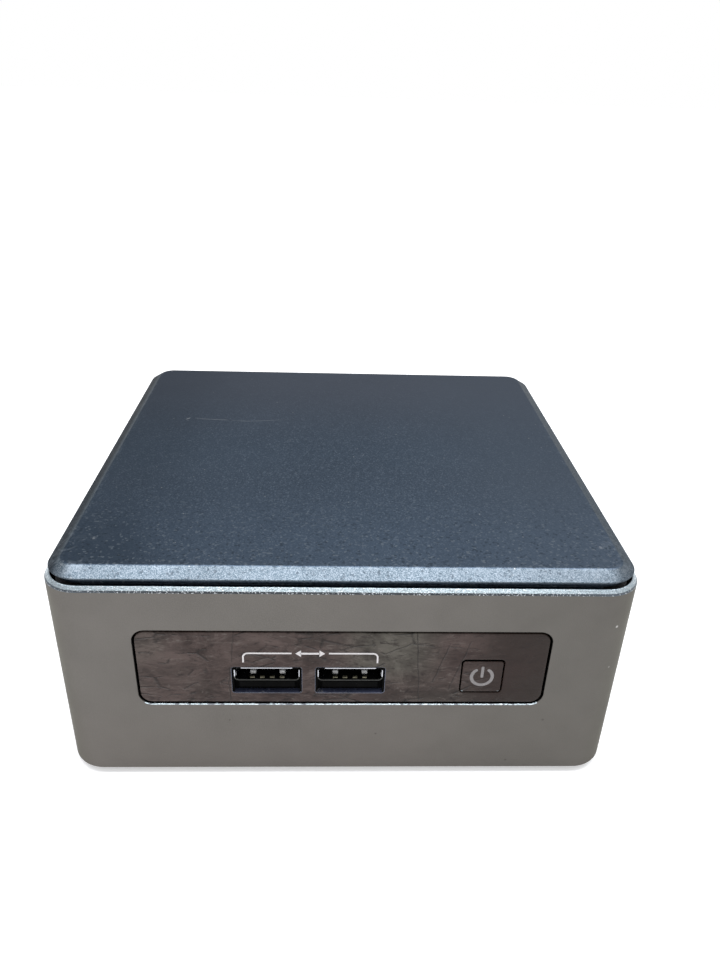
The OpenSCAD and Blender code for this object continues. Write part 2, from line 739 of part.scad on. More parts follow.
// Spring latch beside a memory module: an arm with a hook under the module's face.
module memory_latch(slot, s) color([0.66, 0.66, 0.68]) {
    x0 = ram_w / 2 + latch_gap;
    y1 = slot[0] - 0.05;
    y0 = y1 - 23;
    z = slot[1];
    arm = [ram_x + s * x0, ram_x + s * (x0 + latch_t)];
    hook = [ram_x + s * (ram_w / 2 - 0.6), ram_x + s * (x0 + 0.1)];
    block([min(arm), max(arm)], [y0, y1], [z - 0.8, z + ram_t + 0.3]);
    block([min(hook), max(hook)], [y0, y0 + 2.5], [z - 0.8, z - 0.2]);
}

module m2_sockets() color([0.05, 0.05, 0.05]) {
    x = [card_x - card_w / 2, card_x + card_w / 2];
    difference() {
        block(x, [ssd_y[1] - 3, ssd_y[1] + 2.6], [ssd_z - 1, board_z]);
        block([x[0] - 1, x[1] + 1], [ssd_y[1] - 4, ssd_y[1] + 0.1], [ssd_z - 0.1, ssd_z + card_t + 0.1]);
    }
    difference() {
        block(x, [wifi_y[1] - 1.5, wifi_y[1] + 4.5], [wifi_z - 0.8, board_z]);
        block([x[0] - 1, x[1] + 1], [wifi_y[1] - 4, wifi_y[1] + 0.1],
              [wifi_z - 0.1, wifi_z + card_t + 0.1]);
    }
}

module m2_drive() color([0.04, 0.16, 0.1]) difference() {
    union() {
        block([card_x - card_w / 2, card_x + card_w / 2], ssd_y, [ssd_z, ssd_z + card_t]);
        for (y = [-28, -11]) block([card_x - 7, card_x + 7], [y - 7, y + 7], [ssd_z - 1.2, ssd_z + 0.1]);
        block([card_x - 8, card_x + 8], [11, 26], [ssd_z - 1.2, ssd_z + 0.1]);
    }
    rod([card_x, ssd_y[0]], 1.7, ssd_z - 2, ssd_z + 2);
}

module m2_fasteners() color([0.72, 0.6, 0.35]) {
    rod([card_x, ssd_y[0]], 1.6, ssd_z, ssd_z + card_t + 0.1);
    rod([card_x, ssd_y[0]], 2.3, ssd_z + card_t, board_z);
    rod([card_x, ssd_y[0]], 2.4, ssd_z - 0.9, ssd_z);
    rod([card_x, wifi_y[0]], 1.6, wifi_z, wifi_z + card_t + 0.1);
    rod([card_x, wifi_y[0]], 2.2, wifi_z + card_t, board_z);
    rod([card_x, wifi_y[0]], 2.2, wifi_z - 0.8, wifi_z);
}

module wifi_card() color([0.04, 0.14, 0.2]) difference() {
    union() {
        block([card_x - card_w / 2, card_x + card_w / 2], wifi_y, [wifi_z, wifi_z + card_t]);
        block([card_x - 9, card_x + 9], [5, 21], [wifi_z - 1.2, wifi_z + 0.1]);
        for (s = [-1, 1]) rod([card_x + s * 5.8, 0.5], 1.1, wifi_z - 1, wifi_z + 0.1);
    }
    rod([card_x, wifi_y[0]], 1.7, wifi_z - 2, wifi_z + 2);
}

module antennas() color([0.75, 0.62, 0.3])
    for (s = [-1, 1]) translate([s * 29, -47, deck_z - 0.5]) cube([22, 6, 1], center = true);

module antenna_cables() color([0.1, 0.1, 0.1]) {
    for (route = [coax_right, coax_left]) {
        end = route[len(route) - 1];
        tube(route, coax_r);
        rod([end[0], end[1] - 0.2], 0.9, 43.2, 44);
    }
    // Push-on plugs at the card
    for (s = [-1, 1]) rod([card_x + s * 5.8, 0.5], 1.4, wifi_z - 1.95, wifi_z - 1);
}

// ---- Cooler ----

module cold_plate() color([0.72, 0.45, 0.32]) difference() {
    block([cpu[0] - 15.9, cpu[0] + 15.9], [cpu[1] - 23, cpu[1] + 23], [cpu_top, cpu_top + plate_t]);
    for (sx = [-1, 1], sy = [-1, 1])
        rod([cpu[0] + sx * cooler_screw[0], cpu[1] + sy * cooler_screw[1]], 1.3,
            cpu_top - 1, cpu_top + plate_t + 1);
}

// Screws with a spring round each, which press the plate on the processor.
module cooler_screws() color([0.6, 0.6, 0.62])
    for (sx = [-1, 1], sy = [-1, 1])
        translate([cpu[0] + sx * cooler_screw[0], cpu[1] + sy * cooler_screw[1], 0]) {
            difference() {
                union() {
                    rod([0, 0], 2.2, pipe_z + 1.7, pipe_z + 3.2);
                    rod([0, 0], 1, board_z, pipe_z + 2);
                }
                cross_recess(2.4, pipe_z + 2.6, 1);
            }
            difference() {
                rod([0, 0], 1.9, pipe_z, pipe_z + 1.6);
                rod([0, 0], 1.45, pipe_z - 1, pipe_z + 3);
            }
        }

// Flat heat pipe: along x, round a bend of radius r, then back along the fins.
module heat_pipe(x, bend_y, r) {
    translate([0, 0, pipe_z]) linear_extrude(pipe_h) {
        translate([x - pipe_w / 2, cpu[1] - 19]) square([pipe_w, bend_y - cpu[1] + 19]);
        translate([x - r, bend_y]) arc(r, pipe_w, 0, 90);
        translate([pipe_end, bend_y + r - pipe_w / 2]) square([x - r - pipe_end, pipe_w]);
        translate([x, cpu[1] - 19]) circle(pipe_w / 2);
        translate([pipe_end, bend_y + r]) circle(pipe_w / 2);
    }
}

module heat_pipes() color([0.75, 0.47, 0.33]) {
    heat_pipe(27, 31, 9.8);
    heat_pipe(36, 32, 16.3);
}

module cooling_fins() color([0.75, 0.75, 0.76]) {
    step = (fin_x[1] - fin_x[0] - fin_t) / (fins - 1);
    difference() {
        union() {
            for (i = [0 : fins - 1])
                block([fin_x[0] + i * step, fin_x[0] + i * step + fin_t], fin_y, fin_z);
            block(fin_x, fin_y, [fin_z[1] - fin_t, fin_z[1]]);
            block(fin_x, fin_y, [fin_z[0], fin_z[0] + fin_t]);
        }
        for (y = [40.8, 48.3])
            block([fin_x[0] - 3, fin_x[1] + 1], [y - pipe_w / 2 - 0.05, y + pipe_w / 2 + 0.05],
                  [pipe_z - 0.05, pipe_z + pipe_h + 0.05]);
    }
}

// Blower outline: round in front, straight towards the fins; shrink moves it inwards.
module fan_outline(shrink) {
    r = fan_case_r - shrink;
    translate(fan_case) {
        circle(r);
        translate([-r, 0]) square([2 * r, 40.6]);
    }
}

module fan_housing() color([0.07, 0.07, 0.07]) {
    difference() {
        translate([0, 0, fan_z]) linear_extrude(fan_top - fan_sheet - fan_z) fan_outline(0);
        translate([0, 0, fan_z + fan_sheet]) linear_extrude(20) {
            fan_outline(1);
            translate([fan_case[0] - fan_case_r + 1, 30]) square([2 * fan_case_r - 2, 10]);
        }
        translate([fan_axis[0], fan_axis[1], fan_z - 1]) linear_extrude(3) difference() {
            circle(17);
            circle(10.5);
            for (a = [0 : 60 : 120]) rotate(a) square([40, 2], center = true);
        }
    }
}

module fan_cover() color([0.6, 0.6, 0.62]) difference() {
    translate([0, 0, fan_top - fan_sheet]) linear_extrude(fan_sheet) fan_outline(0);
    rod(fan_axis, 17.5, fan_top - 2, fan_top + 1);
}

module fan_stator() color([0.65, 0.4, 0.2]) translate([fan_axis[0], fan_axis[1], 0]) {
    difference() {
        union() {
            rod([0, 0], 3.6, 32.2, 39.5);
            for (a = [0 : 60 : 300]) rotate([0, 0, a]) block([3, 8.8], [-1.6, 1.6], [34, 38.5]);
        }
        rod([0, 0], 2.4, 31, 41);
    }
    difference() {
        rod([0, 0], 2.4, 32.2, 39.9);
        rod([0, 0], shaft_r + 0.04, 31, 41);
    }
}

// One backward-curved blade, a slice of a ring drawn point by point.
function blade_edge(side) = [for (i = [0 : 5]) let (r = 12.5 + i * 2.4, a = -1.1 * (r - 12.5))
    [r * cos(a) - side * sin(a) * 0.35, r * sin(a) + side * cos(a) * 0.35]];

module fan_impeller() color([0.06, 0.06, 0.06]) translate([fan_axis[0], fan_axis[1], 0])
    difference() {
        union() {
            rod([0, 0], hub_r, rotor_z[0], rotor_z[1]);
            rod([0, 0], rotor_r, rotor_z[0], rotor_z[0] + 0.8);
            for (k = [0 : blades - 1]) rotate([0, 0, 360 * k / blades])
                translate([0, 0, rotor_z[0] + 0.4]) linear_extrude(rotor_z[1] - rotor_z[0] - 0.9)
                    polygon(concat(blade_edge(1), [for (i = [5 : -1 : 0]) blade_edge(-1)[i]]));
            for (k = [0 : blades - 1]) rotate([0, 0, 360 * k / blades])
                block([hub_r - 0.5, 13], [-0.35, 0.35], [rotor_z[0] + 0.4, rotor_z[0] + 3]);
        }
        rod([0, 0], 9.8, rotor_z[0] - 1, rotor_z[1] - 1.2);
        rod([0, 0], shaft_r, rotor_z[0], rotor_z[1] - 0.4);
    }

module fan_shaft() color([0.75, 0.75, 0.76])
    rod(fan_axis, shaft_r, 33, rotor_z[1] - 0.4);

// ---- Drive bay ----

module drive_bay() color([0.7, 0.7, 0.71]) {
    outer = [drive_y[0] - rail_gap - rail_t, drive_y[1] + rail_gap + rail_t];
    for (s = [0, 1]) {
        y_out = outer[s];
        inward = s == 0 ? 1 : -1;
        wall_y = [y_out, y_out + inward * rail_t];
        foot_y = [y_out, y_out + inward * 8];
        difference() {
            union() {
                block([-50, 42], [min(wall_y), max(wall_y)], [cover_z + cover_t, 9.6]);
                block([-50, 42], [min(foot_y), max(foot_y)],
                      [cover_z + cover_t, cover_z + cover_t + rail_t]);
            }
            for (x = drive_hole_x) rod_y(x, drive_hole_z, 1.6, min(wall_y) - 1, max(wall_y) + 1);
        }
    }
}

module drive() color([0.16, 0.16, 0.17]) difference() {
    union() {
        block(drive_x, drive_y, drive_z);
        block([drive_x[0] + 4, drive_x[1] - 12], [drive_y[0] + 5, drive_y[1] - 5],
              [drive_z[1] - 0.1, drive_z[1] + 0.2]);
    }
    // Connector notch with its tongue left standing
    difference() {
        block([42.3, 47], [-30.8, 5.8], [4.8, 10]);
        block([42, 46], [-29.4, 4.4], [6.2, 7.4]);
    }
    for (x = drive_hole_x) {
        rod_y(x, drive_hole_z, 1.45, drive_y[0] - 1, drive_y[0] + 2.2);
        rod_y(x, drive_hole_z, 1.45, drive_y[1] - 2.2, drive_y[1] + 1);
    }
}

module drive_screws() color([0.6, 0.6, 0.62])
    for (x = drive_hole_x, s = [-1, 1]) {
        rail_y = s < 0 ? drive_y[0] - rail_gap - rail_t : drive_y[1] + rail_gap + rail_t;
        head = [rail_y, rail_y + s * 1];
        shank = [rail_y + s * 0.2, rail_y - s * 3];
        rod_y(x, drive_hole_z, 2.3, min(head), max(head));
        rod_y(x, drive_hole_z, 1.45, min(shank), max(shank));
    }

module sata_cable() color([0.08, 0.08, 0.08]) {
    // Connector on the drive
    difference() {
        block([42.6, 50.4], [-30.5, 5.5], [5.1, 9.7]);
        block([42, 46.2], [-29.6, 4.6], [6.0, 7.6]);
    }
    // Flat cable, drawn in (x, z): out, up, back over the board's edge and up
    y = -cable_w / 2;
    up_x = 53.4;
    bend = 2;
    s_bend = (up_x - header_x) / 2;
    turn_z = 16;
    along_y(y, y + cable_w) {
        translate([50.3, 7.4 - cable_t / 2]) square([up_x - bend - 50.3, cable_t]);
        translate([up_x - bend, 7.4 + bend]) arc(bend, cable_t, -90, 0);
        translate([up_x - cable_t / 2, 7.4 + bend]) square([cable_t, turn_z - 7.4 - bend]);
        translate([up_x - s_bend, turn_z]) arc(s_bend, cable_t, 0, 90);
        translate([up_x - s_bend, turn_z + 2 * s_bend]) arc(s_bend, cable_t, 180, 270);
        translate([header_x - cable_t / 2, turn_z + 2 * s_bend])
            square([cable_t, 23.4 - turn_z - 2 * s_bend]);
    }
    // Plug in the board's header
    block([header_x - 1.7, header_x + 1.7], [-11, 11], [23.3, 24.9]);
    block([header_x - 0.7, header_x + 0.7], [-9.9, 9.9], [24.8, 27.5]);
}

module sata_header() color([0.85, 0.83, 0.76]) difference() {
    block([header_x - 1.5, header_x + 1.5], [-11, 11], [25, board_z]);
    block([header_x - 0.8, header_x + 0.8], [-10, 10], [24, 27.8]);
}

chassis_shell();
top_deck();
deck_screws();
lid_grommets();
front_bezel();
rear_panel();
motherboard();
board_standoffs();
board_screws();
board_chips();
cpu_package();
cold_plate();
cooler_screws();
heat_pipes();
cooling_fins();
fan_housing();
fan_cover();
fan_stator();
memory_socket(low_slot);  // memory_socket_low
memory_socket(high_slot);  // memory_socket_high
memory_module(low_slot);  // memory_module_low
memory_module(high_slot);  // memory_module_high
m2_sockets();
m2_drive();
m2_fasteners();
wifi_card();
antennas();
antenna_cables();
usb_shell_front(usb_x[0]);  // usb_shell_front_left
usb_shell_front(usb_x[1]);  // usb_shell_front_right
usb_tongues_front();
port_contacts();
power_switch();
dc_jack();
dc_jack_pin();
hdmi_shells();
rear_port_tongues();
ethernet_jack();
usb_shell_rear();
sata_header();
coin_cell();
power_button();
power_icon();
fan_impeller();
fan_shaft();
bottom_cover();
rubber_feet();
drive_bay();
drive();
drive_screws();
sata_cable();
top_lid();
for (i = [0 : 3])
    captive_screw(corners[i]);
for (i = [0 : 3])
    memory_latch(i < 2 ? low_slot : high_slot, i % 2 == 0 ? -1 : 1);
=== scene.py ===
"""The looks of a small desktop computer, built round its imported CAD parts.

Meshes are drawn in millimetres and turned to metres when they are made. Shaders work in metres.
"""
import json
import random
from math import copysign, cos, exp, hypot, pi, radians, sin

import bpy
import bmesh
from mathutils import Matrix, Vector, noise
from mathutils.geometry import delaunay_2d_cdt, tessellate_polygon


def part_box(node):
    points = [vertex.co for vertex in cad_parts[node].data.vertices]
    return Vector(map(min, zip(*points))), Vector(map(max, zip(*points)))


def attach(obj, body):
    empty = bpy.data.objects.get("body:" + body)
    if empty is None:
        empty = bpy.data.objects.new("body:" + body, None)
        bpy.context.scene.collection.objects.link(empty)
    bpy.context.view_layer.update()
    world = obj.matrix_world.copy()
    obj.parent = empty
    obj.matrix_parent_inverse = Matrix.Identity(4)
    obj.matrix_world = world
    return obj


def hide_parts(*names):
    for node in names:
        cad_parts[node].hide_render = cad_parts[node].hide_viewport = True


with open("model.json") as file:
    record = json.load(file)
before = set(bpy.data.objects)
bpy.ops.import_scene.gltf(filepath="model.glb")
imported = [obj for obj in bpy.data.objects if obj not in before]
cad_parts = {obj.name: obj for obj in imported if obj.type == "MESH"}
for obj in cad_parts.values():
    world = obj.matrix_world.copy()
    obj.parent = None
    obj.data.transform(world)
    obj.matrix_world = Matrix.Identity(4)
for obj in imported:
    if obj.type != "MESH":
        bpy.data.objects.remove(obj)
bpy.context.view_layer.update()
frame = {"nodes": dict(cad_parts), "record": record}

MM = 0.001
RECORD = frame["record"]
SLOT_OF = {s["node"]: s["material_slot"] for s in RECORD["subparts"]}

# ---- shader graphs ----


class Graph:
    """A material's nodes. A value may be a number, a colour or another node's output."""

    def __init__(self, name):
        self.mat = bpy.data.materials.new(name)
        self.mat.use_nodes = True
        self.tree = self.mat.node_tree
        self.tree.nodes.clear()
        out = self.tree.nodes.new("ShaderNodeOutputMaterial")
        self.where = self.add("ShaderNodeTexCoord").outputs["Object"]
        self.bsdf = self.add("ShaderNodeBsdfPrincipled")
        self.tree.links.new(self.bsdf.outputs[0], out.inputs[0])
        self.base = None

    def put(self, socket, value):
        if isinstance(value, bpy.types.NodeSocket):
            self.tree.links.new(value, socket)
        elif isinstance(value, (tuple, list)) and len(value) == 3 and socket.type == "RGBA":
            socket.default_value = (*value, 1)
        else:
            socket.default_value = value

    def add(self, kind, inputs=None, **props):
        node = self.tree.nodes.new(kind)
        for k, v in props.items():
            setattr(node, k, v)
        for k, v in (inputs or {}).items():
            self.put(node.inputs[k], v)
        return node

    def noise(self, scale, detail=3, rough=0.5, distort=0.0, at=None):
        return self.add("ShaderNodeTexNoise", {
            "Vector": at or self.where, "Scale": scale, "Detail": detail,
            "Roughness": rough, "Distortion": distort}).outputs["Fac"]

    def stretch(self, x, y, z, turn=(0, 0, 0), at=None):
        return self.add("ShaderNodeMapping", {
            "Vector": at or self.where, "Scale": (x, y, z), "Rotation": turn}).outputs[0]

    def cells(self, scale, out="Color", feature="F1", at=None):
        node = self.add("ShaderNodeTexVoronoi", {"Vector": at or self.where, "Scale": scale}, feature=feature)
        return node.outputs[out]

    def edges(self, scale, at=None):
        return self.cells(scale, "Distance", "DISTANCE_TO_EDGE", at)

    def dice(self, scale, channel=0):
        """A random value for each cell."""
        return self.add("ShaderNodeSeparateColor", {0: self.cells(scale)}).outputs[channel]

    def span(self, value, lo, hi, to_lo=0.0, to_hi=1.0, kind="LINEAR"):
        """Maps lo to hi onto to_lo to to_hi, and holds the ends beyond them."""
        return self.add("ShaderNodeMapRange", {
            "Value": value, "From Min": lo, "From Max": hi, "To Min": to_lo, "To Max": to_hi},
            interpolation_type=kind, clamp=True).outputs[0]

    def ease(self, value, lo, hi, to_lo=0.0, to_hi=1.0):
        return self.span(value, lo, hi, to_lo, to_hi, "SMOOTHSTEP")

    def math(self, op, a, b=0.0):
        return self.add("ShaderNodeMath", {0: a, 1: b}, operation=op).outputs[0]

    def times(self, a, *others):
        for b in others:
            a = self.math("MULTIPLY", a, b)
        return a

    def plus(self, a, b):
        return self.math("ADD", a, b)

    def minus(self, a, b):
        return self.math("SUBTRACT", a, b)

    def most(self, a, b):
        return self.math("MAXIMUM", a, b)

    def far(self, a, b=None):
        """How far a value is from b, or from zero."""
        return self.math("ABSOLUTE", a if b is None else self.minus(a, b))

    def mix(self, fac, a, b):
        return self.add("ShaderNodeMix", {0: fac, 6: a, 7: b}, data_type="RGBA").outputs[2]

    def lay(self, fac, colour):
        """Lays a colour over what the base colour is so far."""
        self.base = self.mix(fac, self.base, colour)

    def axes(self, at=None):
        return self.add("ShaderNodeSeparateXYZ", {0: at or self.where}).outputs

    def bump(self, height, dist, strength=1.0, normal=None):
        inputs = {"Height": height, "Distance": dist, "Strength": strength}
        if normal:
            inputs["Normal"] = normal
        return self.add("ShaderNodeBump", inputs).outputs[0]

    def set(self, **values):
        """Fills the shader's sockets, with the base colour laid so far, and gives the material."""
        for k, v in {"Base Color": self.base, **values}.items():
            self.put(self.bsdf.inputs[k.replace("_", " ")], v)
        return self.mat


def tint(c, k):
    return tuple(min(1.0, x * k) for x in c)


def worn(name, colour, rough, grain=3000, vary=0.25, dust=0.06, spec=0.5, depth=0.02):
    """A general finish: slow colour drift, fine grain, scuffs that change the gloss, and a little dust."""
    g = Graph(name)
    slow = g.noise(60, 4, 0.6)
    fine = g.noise(grain, 2, 0.6)
    scuff = g.noise(350, 6, 0.7, 0.8)
    g.base = g.mix(g.span(slow, 0.3, 0.7), tint(colour, 1 - vary), tint(colour, 1 + vary))
    g.lay(g.span(fine, 0.4, 0.75, 0, 0.35), tint(colour, 1.6))
    g.lay(g.span(scuff, 0.62, 0.8, 0, dust * 3), (0.35, 0.34, 0.32))
    gloss = g.plus(g.span(scuff, 0.35, 0.75, rough * 0.8, min(1, rough * 1.25)),
                   g.span(fine, 0.3, 0.7, -0.04, 0.04))
    return g.set(Roughness=gloss, Specular_IOR_Level=spec,
                 Normal=g.bump(fine, depth * MM * 10, 0.25))


def flaked(name, colour, flake, rough, sparkle, grain):
    """Metallic finish with visible flakes and a fine sprayed texture."""
    g = Graph(name)
    slow = g.noise(28, 3, 0.5)
    grit = g.noise(grain, 1, 0.5)
    tone = g.dice(grain * 1.15)
    g.base = g.mix(g.span(slow, 0.3, 0.7), tint(colour, 0.86), tint(colour, 1.12))
    g.lay(g.span(grit, 0.35, 0.7, 0, 1), tint(colour, 1.35))
    g.lay(g.span(tone, 0.8, 1.0, 0, sparkle), flake)
    g.lay(g.span(tone, 0.0, 0.2, sparkle * 0.6, 0), tint(colour, 0.55))
    gloss = g.span(g.noise(90, 4, 0.6), 0.3, 0.7, rough * 0.88, rough * 1.12)
    bump = g.bump(grit, 0.00006, 0.35)
    return g, gloss, bump


def dust_on(g, amount, scale=900, colour=(0.62, 0.62, 0.6)):
    """Scattered specks of dust, only where a slow mask allows them."""
    near = g.cells(scale, "Distance")
    pick = g.dice(scale, 1)
    dots = g.times(g.span(near, 0.05, 0.16, 1, 0), g.span(pick, 0.93, 0.95))
    g.lay(g.times(dots, amount), colour)


def make_lid():
    g, gloss, bump = flaked("lid", (0.061, 0.081, 0.108), (0.26, 0.31, 0.37), 0.36, 0.30, 3300)
    scuff = g.noise(420, 5, 0.75, 1.2)
    x, y, z = g.axes()
    # Browner towards the back, painted shade on the left and painted light on the right, scuffed near the
    # front corners and along the bevel
    g.lay(g.ease(y, -0.005, 0.045, 0, 0.7), (0.094, 0.106, 0.130))
    g.lay(g.ease(x, -0.020, -0.054, 0, 0.35), (0.040, 0.052, 0.068))
    g.lay(g.ease(x, 0.010, 0.048, 0, 0.5), (0.088, 0.108, 0.136))
    worn = g.span(g.noise(30, 2), 0.42, 0.6)
    patch = g.times(g.ease(x, -0.028, -0.044), g.ease(y, -0.022, -0.040))
    g.lay(g.times(patch, g.times(worn, 0.6)), (0.026, 0.034, 0.044))
    # Painted highlight: the bevel is brighter than the top, with painted shade along its right and far left
    # runs
    bevel_highlight = g.times(g.span(z, 0.05090, 0.05084), g.span(z, 0.0485, 0.0491))
    speck = g.span(g.noise(4600, 1, 0.6), 0.40, 0.68)
    edge = g.mix(speck, (0.068, 0.094, 0.116), (0.205, 0.238, 0.272))
    edge = g.mix(g.ease(x, 0.010, 0.050, 0, 0.35), edge, (0.062, 0.072, 0.082))
    edge = g.mix(g.ease(x, -0.0536, -0.0552, 0, 0.72), edge, (0.018, 0.021, 0.026))
    g.lay(bevel_highlight, edge)
    side = g.far(x)
    corner = g.times(g.ease(side, 0.0445, 0.0525), g.ease(y, -0.032, -0.049))
    rub = g.times(corner, g.span(scuff, 0.50, 0.66))
    rim = g.most(g.span(side, 0.0530, 0.0540, 0, 1), g.span(y, -0.0514, -0.0522, 0, 1))
    rim = g.times(g.times(rim, g.span(z, 0.0505, 0.0508)), g.span(scuff, 0.5, 0.62))
    g.lay(g.times(rub, 0.5), (0.24, 0.27, 0.30))
    g.lay(g.times(rim, 0.4), (0.20, 0.24, 0.28))
    # Painted reflection: the top turns bluer and lighter towards the front, where bright flake specks are
    # painted glints
    front = g.ease(y, -0.012, -0.048)
    g.lay(g.times(g.minus(front, bevel_highlight), 0.5), g.mix(0.5, g.base, (0.072, 0.108, 0.160)))
    spark = g.dice(2300)
    g.lay(g.times(g.span(spark, 0.90, 0.97, 0, 0.55), front), (0.17, 0.20, 0.23))
    g.lay(g.times(g.span(spark, 0.12, 0.04, 0, 0.55), front), (0.030, 0.040, 0.052))
    dust_on(g, g.span(g.noise(45, 2), 0.45, 0.6, 0.15, 0.6))
    tick = g.cells(520, "Distance", at=g.stretch(1, 0.45, 1, (0, 0, 0.7)))
    tick = g.times(g.span(tick, 0.10, 0.2, 0.9, 0), corner, g.span(scuff, 0.48, 0.6))
    g.lay(tick, (0.42, 0.44, 0.46))
    # One long shallow scratch near the back left, and a few short ones
    bow = g.times(g.math("POWER", g.times(g.plus(x, 0.027), 80), 2.0), 0.0014)
    along = g.minus(g.plus(y, g.times(g.noise(90, 1), 0.0012)), bow)
    line = g.span(g.far(g.minus(along, 0.0154)), 0.0, 0.00020, 1, 0)
    line = g.times(line, g.times(g.span(x, -0.0395, -0.0385), g.span(x, -0.012, -0.022)))
    line = g.times(line, g.span(g.noise(260, 2), 0.38, 0.55))
    dot = g.plus(g.far(g.minus(g.plus(x, g.times(y, -0.6)), -0.0499)),
                 g.times(g.far(g.plus(y, -0.0157)), 0.5))
    line = g.most(line, g.span(dot, 0.0002, 0.0005, 1, 0))
    hair = g.edges(70, g.stretch(1, 3.2, 1, (0, 0, 0.5)))
    hair = g.times(g.span(hair, 0.0, 0.006, 1, 0), g.span(g.noise(38, 2, 0.5), 0.66, 0.72))
    marks = g.most(line, g.times(hair, 0.35))
    g.lay(g.times(marks, 0.6), (0.36, 0.38, 0.40))
    return g.set(Metallic=0.93, Roughness=gloss, Specular_Tint=(0.42, 0.42, 0.42), Normal=bump)


def make_sleeve():
    g, gloss, bump = flaked("sleeve", (0.107, 0.097, 0.092), (0.17, 0.16, 0.15), 0.46, 0.08, 4200)
    x, y, z = g.axes()
    # Soft cloudy patches, painted light towards the bottom, painted shade to the right, greener near the
    # corners, and a few specks
    cloud = g.noise(16, 2, 0.5, 0.3)
    side = g.most(g.far(x), g.far(y))
    g.lay(g.ease(cloud, 0.35, 0.65, 0, 0.5), (0.115, 0.101, 0.096))
    # Painted light: lighter towards the bottom
    g.lay(g.ease(z, 0.026, 0.003, 0, 0.6), (0.146, 0.127, 0.119))
    # Painted shade: darker towards the right
    g.lay(g.ease(x, 0.005, 0.045, 0, 0.6), (0.066, 0.060, 0.056))
    g.lay(g.times(g.ease(side, 0.044, 0.0565), 0.5), (0.140, 0.136, 0.122))
    dust_on(g, 0.55, 420, (0.6, 0.59, 0.57))
    dark = g.cells(260, "Distance")
    pick = g.dice(260, 2)
    spot = g.times(g.span(dark, 0.03, 0.09, 1, 0), g.span(pick, 0.95, 0.96))
    g.lay(g.times(spot, 0.5), (0.05, 0.045, 0.04))
    return g.set(Metallic=1.0, Roughness=gloss, Specular_Tint=(0.66, 0.66, 0.62), Normal=bump)


def make_rim():
    """Bright-cut edge with a coarse, sparkling grain."""
    g = Graph("sleeve_rim")
    grit = g.noise(4300, 2, 0.6)
    tone = g.dice(5200)
    g.base = g.mix(g.span(grit, 0.36, 0.66), (0.36, 0.45, 0.49), (0.78, 0.90, 0.94))
    g.lay(g.span(tone, 0.70, 0.95, 0, 0.8), (0.92, 0.95, 0.97))
    g.lay(g.span(tone, 0.20, 0.05, 0, 0.5), (0.20, 0.24, 0.27))
    z = g.axes()[2]
    # Painted shade on the lower part of the rim bevel, with a few sparkles left in it
    bevel_foot_shade = g.times(g.span(z, 0.04731, 0.04725), g.span(z, 0.030, 0.031))
    g.lay(g.times(bevel_foot_shade, g.span(tone, 0.92, 0.8, 0.4, 0.95)), (0.045, 0.047, 0.052))
    # Painted shade: the rim darker towards its left and right runs
    g.lay(g.ease(g.far(g.axes()[0]), 0.030, 0.056, 0, 0.45), (0.16, 0.19, 0.22))
    bead = g.dice(1500, 1)
    low = g.times(g.span(z, 0.0250, 0.0245), g.span(bead, 0.36, 0.2, 0, 0.75))
    g.lay(low, (0.10, 0.10, 0.12))
    gloss = g.span(g.noise(700, 3), 0.3, 0.7, 0.26, 0.36)
    return g.set(Metallic=1.0, Roughness=gloss, Normal=g.bump(grit, 0.00012, 0.6))


# Creases in the film over the front panel: both ends (x, z), width and depth
CREASES = [((-21.4, 38.2), (-21.9, 30.2), 0.10, 0.55), ((-22.4, 29.2), (-22.6, 20.0), 0.11, 0.8),
           ((14.1, 38.2), (15.4, 20.0), 0.09, 0.85), ((20.8, 35.2), (17.8, 25.1), 0.13, 0.7),
           ((24.9, 36.0), (21.1, 23.0), 0.13, 0.6), ((8.0, 32.6), (14.2, 35.9), 0.12, 0.75),
           ((14.4, 35.4), (16.7, 35.3), 0.08, 0.7), ((-29.4, 28.4), (-30.7, 26.9), 0.17, 0.7),
           ((-28.6, 25.3), (-31.8, 23.4), 0.15, 0.7), ((-18.0, 30.2), (-14.6, 32.0), 0.12, 0.7)]


